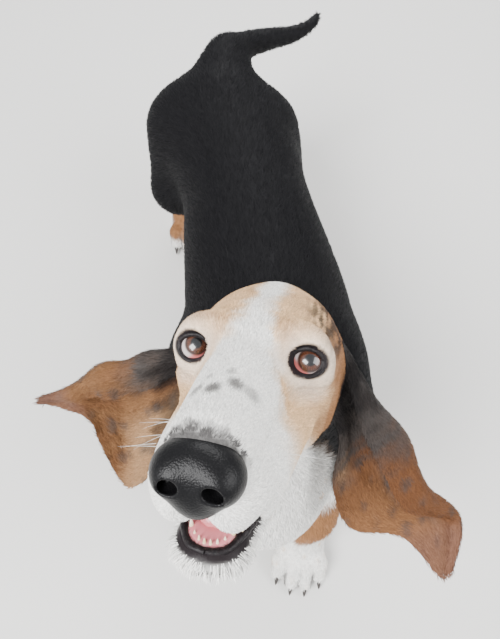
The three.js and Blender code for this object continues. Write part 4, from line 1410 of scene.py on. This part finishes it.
def tongue_form(q):
    flesh = join(6, limb([0, -22, -71], [0, -66, -75], 13, 11), egg([0, -50, -71], [14, 29, 7]))(q)
    crease = 1.3 * np.exp(-(q[:, 0] / 1.6) ** 2) * smooth(q[:, 2], -80, -70)
    return np.maximum(flesh + crease, UPPER_ROOM - upper_head(q))


tongue_points, tongue_quads = net_of(tongue_form, [-26, -92, -100], [26, -6, -46], 1.6)
tongue_points, _ = settle(tongue_form, tongue_points, 0.8)
tongue_flesh = worn_material("tongue_flesh", (0.45, 0.13, 0.14), (0.66, 0.25, 0.26), 700, 0.3, 0.0005, 0.4)
tongue = piece("tongue_flesh", from_head(tongue_points), tongue_quads.tolist(), tongue_flesh, "tongue")
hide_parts("tongue")
print("tongue:", len(tongue_quads), "faces")

# %% [markdown]
# ## Ears
#
# A basset's ear is a long leaf of soft skin that hangs in folds and curls at
# its margins. Each row across the ear runs from its front margin to the fold
# and back over it. Two curves carry the rows from root to tip, and the leaf
# gets its thickness along its own normals. Cloth would have to be pinned all
# along to hold this swung shape, so the fold is drawn directly.

# %% Ear leaves
EAR_ROWS = {
    "left": [
        ([59, 77, 452], [68, 127, 472], 3, 7, 12), ([75, 60, 415], [97, 94, 440], 6, 12, 24),
        ([77, 22, 352], [138, 64, 388], 12, 14, 33), ([99, -10, 312], [165, 25, 348], 11, 12, 27),
        ([150, -18, 300], [204, 0, 314], 4, 6, 12), ([184, -53, 296], [193, -49, 298], 0, 4, 3),
    ],
    "right": [
        ([-39, 86, 430], [-41, 130, 449], 3, 7, 12), ([-93, 34, 358], [-83, 125, 445], 9, 13, 28),
        ([-120, 29, 329], [-110, 121, 434], 12, 14, 28), ([-138, 58, 352], [-134, 119, 422], 10, 13, 24),
        ([-149, 84, 375], [-158, 107, 404], 4, 8, 10), ([-185, 97, 388], [-189, 101, 392], 0, 4, 3),
    ],
}
EAR_LONG, EAR_ACROSS = 110, 56
EAR_HALF_THICKNESS = 1.5


def ear_leaf(rows):
    """A grid of points over the ear: s from root to tip, t from the front margin to the lap."""
    s_values = np.linspace(0.0, 1.0, EAR_LONG + 1)
    front = spline([row[0] for row in rows], s_values)
    fold = spline([row[1] for row in rows], s_values)
    ahead = spline([row[1] for row in rows], s_values + 0.05)
    behind = spline([row[1] for row in rows], s_values - 0.05)
    stations = np.linspace(0, 1, len(rows))
    hollow, roll, lap = [np.interp(s_values, stations, [row[i] for row in rows]) for i in (2, 3, 4)]
    grid = []
    for i in range(EAR_LONG + 1):
        a, b = front[i], fold[i]
        across = (b - a) / np.linalg.norm(b - a)
        down = (ahead[i] - behind[i]) / np.linalg.norm(ahead[i] - behind[i])
        face = np.cross(across, down)
        face /= np.linalg.norm(face)
        face = face if face[2] > 0 else -face
        section = [a, a * 0.65 + b * 0.35 - face * hollow[i], a * 0.22 + b * 0.78 - face * hollow[i] * 0.8,
                   b, b - across * roll[i] * 0.3 + face * roll[i] * 0.9,
                   b - across * lap[i] + face * roll[i] * 0.75]
        dense = spline(section, np.linspace(0, 1, 120))
        run = np.concatenate([[0], np.cumsum(size_of(np.diff(dense, axis=0)))])
        even = np.linspace(0, run[-1], EAR_ACROSS + 1)
        grid.append(np.stack([np.interp(even, run, dense[:, j]) for j in range(3)], 1))
    return np.array(grid)


def grid_normals(grid):
    along = np.gradient(grid, axis=0)
    across = np.gradient(grid, axis=1)
    normal = np.cross(along, across)
    return normal / np.maximum(np.linalg.norm(normal, axis=2), 1e-6)[..., None]


def ear_colour(side, s, t, p, inner):
    """Black at the root, then brown and tan, with painted shade along the left ear's fold and under the
    right ear's curled tip, and a painted highlight on the left ear's front edge.
    """
    rag = ripple(p, 24, 31) * 0.05
    if side == "left":
        colour = np.tile(COAT["brown"] * 1.05, (len(p), 1))
        colour = lay(colour, "tan", 0.42 * smooth(s, 0.35, 0.6) * (1 - smooth(t, 0.5, 0.62)) * inner)
        # Painted highlight on the front edge of the left ear.
        colour = lay(colour, "cream", 0.30 * np.exp(-((s - 0.30) / 0.09) ** 2 - ((t - 0.1) / 0.09) ** 2))
        colour = lay(colour, "smoke_and_shade", (1 - smooth(s + rag, 0.26, 0.46)) * 0.95)
        colour = lay(colour, "black", 0.8 * (1 - smooth(s + rag, 0.12, 0.26)))
        # Painted shadow along the left ear's fold.
        colour = lay(colour, "smoke_and_shade", 0.7 * np.exp(-((t - 0.47) / 0.06) ** 2) * (1 - smooth(s, 0.7, 0.85)))
    else:
        colour = np.tile(COAT["tan"] * 0.6, (len(p), 1))
        colour = lay(colour, "brown", 0.55 * smooth(ripple(p, 30, 33), -0.4, 0.8))
        colour = lay(colour, "cream", 0.25 * (1 - smooth(s, 0.25, 0.5)) * (1 - smooth(t, 0.3, 0.5)))
        colour = lay(colour, "smoke_and_shade", (1 - smooth(s + rag, 0.16, 0.42)) * smooth(t, 0.5, 0.6) * 0.95)
        colour = lay(colour, "black", 0.75 * (1 - smooth(s + rag, 0.1, 0.2)))
        # Painted shade under the right ear's curled tip.
        colour = lay(colour, "black", 0.85 * smooth(s, 0.84, 0.93) * smooth(t, 0.3, 0.6))
    colour = lay(colour, "smoke_and_shade", 0.6 * smooth(ripple(p, 24, 35), 0.25, 0.9))
    mauve = np.array([0.17, 0.085, 0.06])
    colour = colour + (mauve - colour) * (0.6 * smooth(s, 0.72, 0.86))[:, None]
    return opaque(colour)


def ear(side):
    rows = EAR_ROWS[side]
    grid = ear_leaf(rows)
    s, t = np.meshgrid(np.linspace(0, 1, EAR_LONG + 1), np.linspace(0, 1, EAR_ACROSS + 1), indexing="ij")
    normal = grid_normals(grid)
    wrinkle = 1.1 * np.sin(t * 26 + 5 * np.sin(s * 6)) * np.exp(-((s - 0.36) / 0.16) ** 2) * (t < 0.5)
    wave = 1.0 * np.sin(s * 21 + t * 5) * np.abs(t - 0.25) * 2
    grid = grid + normal * ((wrinkle + wave) * smooth(s, 0.1, 0.2))[..., None]
    normal = grid_normals(grid)
    rim = np.minimum(np.minimum(t, 1 - t) * EAR_ACROSS, (1 - s) * EAR_LONG)
    half = EAR_HALF_THICKNESS * np.sqrt(np.clip(rim / 3.0, 0.04, 1))
    top = (grid + normal * half[..., None]).reshape(-1, 3)
    bottom = (grid - normal * half[..., None]).reshape(-1, 3)
    n = EAR_ACROSS + 1
    i, j = np.meshgrid(np.arange(EAR_LONG), np.arange(EAR_ACROSS), indexing="ij")
    a = (i * n + j).ravel()
    quads = np.stack([a, a + n, a + n + 1, a + 1], 1)
    under = len(top)
    loop = list(range(0, n)) + [k * n + n - 1 for k in range(1, EAR_LONG + 1)]
    loop += [EAR_LONG * n + k for k in range(n - 2, -1, -1)] + [k * n for k in range(EAR_LONG - 1, 0, -1)]
    band = [[loop[k], loop[(k + 1) % len(loop)], under + loop[(k + 1) % len(loop)], under + loop[k]]
            for k in range(len(loop))]
    faces = quads.tolist() + (quads[:, ::-1] + under).tolist() + band
    points = np.vstack([top, bottom])
    flat_s, flat_t = np.tile(s.ravel(), 2), np.tile(t.ravel(), 2)
    faces_up = np.sign(normal[EAR_LONG // 2, EAR_ACROSS // 4, 2])
    inner = np.concatenate([np.full(len(top), faces_up > 0), np.full(len(top), faces_up < 0)]).astype(float)
    colour = ear_colour(side, flat_s, flat_t, points, inner)
    along = np.gradient(grid, axis=0)
    along /= np.maximum(np.linalg.norm(along, axis=2), 1e-6)[..., None]
    hair = np.stack([flat_t * 90, flat_s * 150 * STREAK_SQUEEZE, inner * 7], 1) * MM
    made = piece("ear_leaf_" + side, points, faces, coat_on_skin, "coat_brown",
                 {"Coat": colour, "Wet": np.zeros(len(points)), "HairHead": hair, "HairTrunk": hair,
                  "HairLeg": hair, "OnHead": np.ones(len(points)), "OnLeg": np.zeros(len(points))})
    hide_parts("ear_" + side)
    return {"points": points, "normals": np.vstack([normal.reshape(-1, 3), -normal.reshape(-1, 3)]),
            "ways": np.tile(along.reshape(-1, 3), (2, 1)), "colour": colour, "s": flat_s, "t": flat_t,
            "quads": np.vstack([quads, quads[:, ::-1] + under]), "inner": inner}


ears = {side: ear(side) for side in EAR_ROWS}
print("ears:", {side: len(e["quads"]) for side, e in ears.items()})

# %% [markdown]
# ## Short fur as mesh
#
# A smooth coat lies flat, so most of it is bump. Where the eye meets the
# edge of the body, at chin, lips, ears, tail and chest, single tufts must
# break the line. Each tuft here is a thin blade of three triangles that
# leaves the skin, bends and runs along it. Hair curves would look as good in
# a render but wouldn't survive in the finished mesh model.
#
# Every blade also gets a small patch of its own on a map of its region, at
# the place where its root lies, so a later texture can't mix two blades.

# %% Scattering roots and growing blades
PATCH = 0.003
MAP_TILES = 3
BLADE_POINTS = 5
ROOT_DEPTH = 0.35
STRAY = 0.22


def scatter(points, quads, normals, count, weight, seed):
    """Random places on the quads, more of them where the weight is high."""
    rng = np.random.default_rng(seed)
    corner = points[quads]
    area = size_of(np.cross(corner[:, 1] - corner[:, 0], corner[:, 2] - corner[:, 0]))
    area = area + size_of(np.cross(corner[:, 2] - corner[:, 0], corner[:, 3] - corner[:, 0]))
    share = area * weight
    pick = rng.choice(len(quads), count, p=share / share.sum())
    u, v = rng.random((2, count, 1))
    mixers = [(1 - u) * (1 - v), u * (1 - v), u * v, (1 - u) * v]
    place = sum(m * points[quads[pick, i]] for i, m in enumerate(mixers))
    normal = sum(m * normals[quads[pick, i]] for i, m in enumerate(mixers))
    blend = [m[:, 0] for m in mixers]
    return place, unit_rows(normal), pick, blend


def map_places(place, normal, region):
    """A place on the unwrap: the region's own tile for the side that the skin faces."""
    axis = np.argmax(np.abs(normal), axis=1)
    facing = axis * 2 + (normal[np.arange(len(normal)), axis] > 0)
    made = np.zeros((len(place), 2))
    regions = int(region.max()) + 1
    for r in range(regions):
        mine = region == r
        if not mine.any():
            continue
        low, high = place[mine].min(0), place[mine].max(0)
        part = (place[mine] - low) / np.maximum(high - low, 1e-6)
        for side in range(6):
            chosen = facing[mine] == side
            keep = [i for i in range(3) if i != side // 2]
            tile = np.array([side % MAP_TILES / MAP_TILES, (side // MAP_TILES + 2 * r) / (2 * regions)])
            size = np.array([1 / MAP_TILES, 1 / (2 * regions)])
            where = np.flatnonzero(mine)[chosen]
            made[where] = tile + size * (0.02 + 0.95 * part[chosen][:, keep])
    return made


def tuft_material():
    material, tree, shader = new_material("coat_tufts")
    coat = attribute_of(tree, "Coat")
    where = tree.nodes.new("ShaderNodeTexCoord")
    noise = tree.nodes.new("ShaderNodeTexNoise")
    noise.inputs["Scale"].default_value = 700.0
    shade = tree.nodes.new("ShaderNodeMapRange")
    shade.inputs["To Min"].default_value = 0.7
    shade.inputs["To Max"].default_value = 1.3
    scale = tree.nodes.new("ShaderNodeVectorMath")
    scale.operation = "SCALE"
    tree.links.new(where.outputs["Object"], noise.inputs["Vector"])
    tree.links.new(noise.outputs["Fac"], shade.inputs["Value"])
    tree.links.new(coat.outputs["Color"], scale.inputs[0])
    tree.links.new(shade.outputs[0], scale.inputs["Scale"])
    tree.links.new(scale.outputs[0], shader.inputs["Base Color"])
    shader.inputs["Roughness"].default_value = 0.6
    shader.inputs["Specular IOR Level"].default_value = COAT_SPECULAR
    return material


coat_tufts = tuft_material()


def grow(name, place, normal, way, length, width, lift, colour, region, slot, seed):
    """A piece of many blades. length, width and lift are one number for each blade."""
    rng = np.random.default_rng(seed)
    count = len(place)
    way = along_skin(way + STRAY * rng.normal(size=(count, 3)), normal)
    across = np.cross(normal, way)
    length = (length * rng.uniform(0.7, 1.25, count))[:, None]
    half = (width * rng.uniform(0.7, 1.2, count))[:, None] / 2
    lift = (lift * rng.uniform(0.6, 1.4, count))[:, None]
    root = place - normal * ROOT_DEPTH
    bend = place + way * length * 0.55 + normal * lift * length * 0.6
    tip = place + way * length + normal * lift * length * 0.75
    rows = np.stack([root - across * half, root + across * half, bend - across * half * 0.8,
                     bend + across * half * 0.8, tip], 1)
    points = rows.reshape(-1, 3)
    first = np.arange(count) * BLADE_POINTS
    loops = np.stack([first + 1, first, first + 2, first + 3, first + 3, first + 2, first + 4], 1).ravel()
    mesh = bpy.data.meshes.new(name)
    mesh.vertices.add(len(points))
    mesh.vertices.foreach_set("co", ((points + SHIFT) * MM).astype(np.float32).ravel())
    mesh.loops.add(len(loops))
    mesh.loops.foreach_set("vertex_index", loops.astype(np.int32))
    mesh.polygons.add(count * 2)
    starts = (np.arange(count)[:, None] * 7 + [0, 4]).ravel()
    mesh.polygons.foreach_set("loop_start", starts.astype(np.int32))
    mesh.polygons.foreach_set("use_smooth", [True] * (count * 2))
    mesh.update(calc_edges=True)
    shade = rng.uniform(0.82, 1.18, count)
    # Each blade is painted darker at its root, as shade down in the coat, and a little lighter at its tip,
    # as painted light. The blades also differ at random.
    blade_tone_with_root_shade = np.stack([shade * 0.86, shade * 0.86, shade, shade, shade * 1.08], 1).ravel()
    colours = opaque(np.clip(np.repeat(colour[:, :3], BLADE_POINTS, 0) * blade_tone_with_root_shade[:, None], 0, 1))
    layer = mesh.attributes.new("Coat", "FLOAT_COLOR", "POINT")
    layer.data.foreach_set("color", colours.astype(np.float32).ravel())
    spots = map_places(place, normal, region)
    corner = np.array([[-1, -1], [1, -1], [-0.8, 0.2], [0.8, 0.2], [0, 1]]) * PATCH / 2
    uv_points = (spots[:, None] + corner).reshape(-1, 2)
    uv = mesh.uv_layers.new(name="OFBake")
    uv.data.foreach_set("uv", np.clip(uv_points[loops], 0, 1).astype(np.float32).ravel())
    stray = np.repeat(rng.normal(size=(count, 3)), BLADE_POINTS, 0)
    soft = np.repeat(normal, BLADE_POINTS, 0) + STRAY * stray
    soft /= size_of(soft)[:, None]
    mesh.normals_split_custom_set_from_vertices(soft.tolist())
    mesh.materials.append(coat_tufts)
    into_scene(name, mesh, slot)
    print(name, count, "blades")


print("a blade has", BLADE_POINTS, "points")

# %% [markdown]
# ## Where the fur grows
#
# Hair is longest on neck and trunk, shorter on legs and tail, and shortest
# on the muzzle and round the eyes. Lids, lips, nose and soles stay bare. The
# chin has stiff white bristles that stand out from black skin. Five regions
# of skin and two ears keep every piece small enough for a texture of its own.

# %% Where the fur grows, and how long
HEAD_REACH = 86
LEG_TOP = 150
FACE_BACK = -2
FORE_BACK = 260
HIND_FRONT = 300
LIP_CLEARANCE = 5.0
SOLE_CLEARANCE = 6.0
JAW_TOP = -66
BRISTLE_TOP = -68
skin_quads = np.array([f for f in skin_faces if len(f) == 4])
quad_middle = skin_points[skin_quads].mean(1)
quad_head = to_head(quad_middle)
edge, lining = lip_amounts(quad_head)
away, along, ring = lid_shape(quad_head)
bare = (lining > 0.2) | ((edge > 0.2) & (quad_head[:, 2] > JAW_TOP))
bare |= (ring < RIM_OUTER) & (away < RIM_AWAY) & (along > 0)
lip_path = spline(LIP_LINE, np.linspace(0, 1, 60))
quad_mirrored = one_side(quad_head)
near_lip = HEAD_SPAN(quad_head) < 90
lip_gap = np.full(len(quad_head), 99.0)
lip_gap[near_lip] = np.min([size_of(quad_mirrored[near_lip] - point) for point in lip_path], axis=0)
bare |= lip_gap < LIP_CLEARANCE
bare |= pad(quad_head) < 1.0
bare |= quad_middle[:, 2] < SOLE_CLEARANCE
bare |= mouth_floor(quad_head) < 1.0
on_head = HEAD_SPAN(quad_head) < HEAD_REACH
on_leg = (quad_middle[:, 2] < LEG_TOP) & ~on_head
on_trunk = ~on_head & ~on_leg
before_eyes = quad_head[:, 1] < FACE_BACK
in_front = quad_middle[:, 1] < FORE_BACK
GROWTH = {
    "coat_face": {"where": on_head & before_eyes, "count": 66000, "slot": "coat_white"},
    "coat_skull": {"where": on_head & ~before_eyes, "count": 60000, "slot": "coat_cream"},
    "coat_fore": {"where": on_trunk & in_front, "count": 62000, "slot": "coat_black"},
    "coat_rear": {"where": on_trunk & ~in_front, "count": 62000, "slot": "coat_black"},
    "coat_legs": {"where": on_leg, "count": 52000, "slot": "coat_tan"},
}


def fur_sizes(p):
    """Length, width and lift of the blades at points of the body frame."""
    q = to_head(p)
    head_part = on_head_part(q)
    low = 1 - smooth(p[:, 2], 60, 120)
    length = 11.0 - 5.0 * low
    width = 0.95 - 0.25 * low
    lift = np.full(len(p), 0.16)
    on_tail = (1 - smooth(tail(p), 2, 10)) * smooth(p[:, 1], 630, 660)
    length -= 3.5 * on_tail
    width -= 0.25 * on_tail
    front = smooth(-q[:, 1], 0, 60)
    head_length = 5.4 - 2.6 * front
    length += (head_length - length) * head_part
    width += (0.52 - width) * head_part
    lift += (0.17 - lift) * head_part
    chin = head_part * (1 - smooth(jaw(q), 3, 7)) * smooth(-q[:, 2], 74, 84)
    chin *= 1 - smooth(q[:, 1], -50, -20)
    length += 2.4 * chin
    lift += 0.6 * chin
    away, _, ring = lid_shape(q)
    by_eye = head_part * (1 - smooth(ring, 1.6, 2.6)) * (away < 34)
    length -= 2.6 * by_eye
    width -= 0.26 * by_eye
    lift -= 0.09 * by_eye
    return length, width, lift


for number, (coat_name, growth) in enumerate(GROWTH.items()):
    weight = np.where(growth["where"] & ~bare, 1 - 0.75 * edge, 0.0)
    place, normal, _, _ = scatter(skin_points, skin_quads, skin_normals, growth["count"], weight,
                                  40 + number)
    length, width, lift = fur_sizes(place)
    way = lie_of(place, normal)
    region = np.zeros(len(place), int)
    if coat_name == "coat_legs":
        behind = place[:, 1] > HIND_FRONT
        on_left = place[:, 0] > np.where(behind, HIND_MIDDLE, FORE_MIDDLE)
        region = behind.astype(int) * 2 + on_left.astype(int)
    colour, _ = bare_parts(place, coat_colour(place))
    bristle = to_head(place)[:, 2] < BRISTLE_TOP
    colour[bristle] = coat_colour(place[bristle])
    grow(coat_name, place, normal, way, length, width, lift, colour, region, growth["slot"], 60 + number)

EAR_BLADES = 32000
EAR_HAIR_LENGTH, EAR_HAIR_WIDTH, EAR_HAIR_LIFT = 7.0, 0.7, 0.16
for number, (side, leaf) in enumerate(ears.items()):
    quads = leaf["quads"]
    s_mid, t_mid = leaf["s"][quads].mean(1), leaf["t"][quads].mean(1)
    inner_mid = leaf["inner"][quads].mean(1)
    thin_haired = np.exp(-((s_mid - 0.36) / 0.13) ** 2) * (t_mid < 0.45) * (t_mid > 0.1)
    thin_haired *= inner_mid > 0.5
    weight = 1.0 - 0.75 * thin_haired * (side == "left")
    place, normal, pick, blend = scatter(leaf["points"], quads, leaf["normals"], EAR_BLADES, weight,
                                         50 + number)
    way = sum(b[:, None] * leaf["ways"][quads[pick, i]] for i, b in enumerate(blend))
    colour = sum(b[:, None] * leaf["colour"][quads[pick, i]] for i, b in enumerate(blend))
    length, width, lift = [np.full(len(place), value)
                           for value in (EAR_HAIR_LENGTH, EAR_HAIR_WIDTH, EAR_HAIR_LIFT)]
    region = (inner_mid[pick] > 0.5).astype(int)
    grow("coat_ear_" + side, place, normal, way, length, width, lift, colour, region, "coat_brown",
         70 + number)
print("pieces of fur:", len(GROWTH) + len(ears))

# %% [markdown]
# ## Whiskers
#
# A few stiff whiskers stand on the sides of the muzzle and on the chin.
# They are the only hairs that are seen one by one, so each is a tapered tube.

# %% Whiskers
WHISKERS, MUZZLE_WHISKERS = 28, 16
WHISKER_HALF_WIDTH = 0.13
rng = np.random.default_rng(9)
whiskers = []
for number in range(WHISKERS):
    side = 1 if number % 2 else -1
    on_muzzle = number < MUZZLE_WHISKERS
    if on_muzzle:
        root = np.array([side * rng.uniform(22, 30), rng.uniform(-86, -52), rng.uniform(-42, -24)])
        way = np.array([side * 0.95, -0.25 + rng.uniform(-0.2, 0.2), rng.uniform(-0.5, 0.15)])
    else:
        root = np.array([side * rng.uniform(2, 18), rng.uniform(-92, -80), -90.0])
        way = np.array([side * 0.3, -0.7, -0.6 + rng.uniform(-0.2, 0.2)])
    settled, _ = settle(upper_head if on_muzzle else jaw, root[None], 8.0, 4)
    way = way / np.linalg.norm(way)
    long = rng.uniform(14, 26) if on_muzzle else rng.uniform(8, 13)
    t = np.linspace(0, 1, 9)
    path = settled[0] + t[:, None] * way * long + (t ** 2)[:, None] * np.array([0, 0.25, -0.22]) * long
    whiskers.append(tube(path, WHISKER_HALF_WIDTH * (1 - 0.85 * t), sides=5))
whisker_points, whisker_faces = gather(whiskers)
whisker_hair = worn_material("whisker_hair", (0.55, 0.53, 0.50), (0.8, 0.78, 0.74), 300, 0.5, 0.0001)
piece("whiskers", from_head(whisker_points), whisker_faces, whisker_hair, "coat_white")
print("whiskers:", WHISKERS)
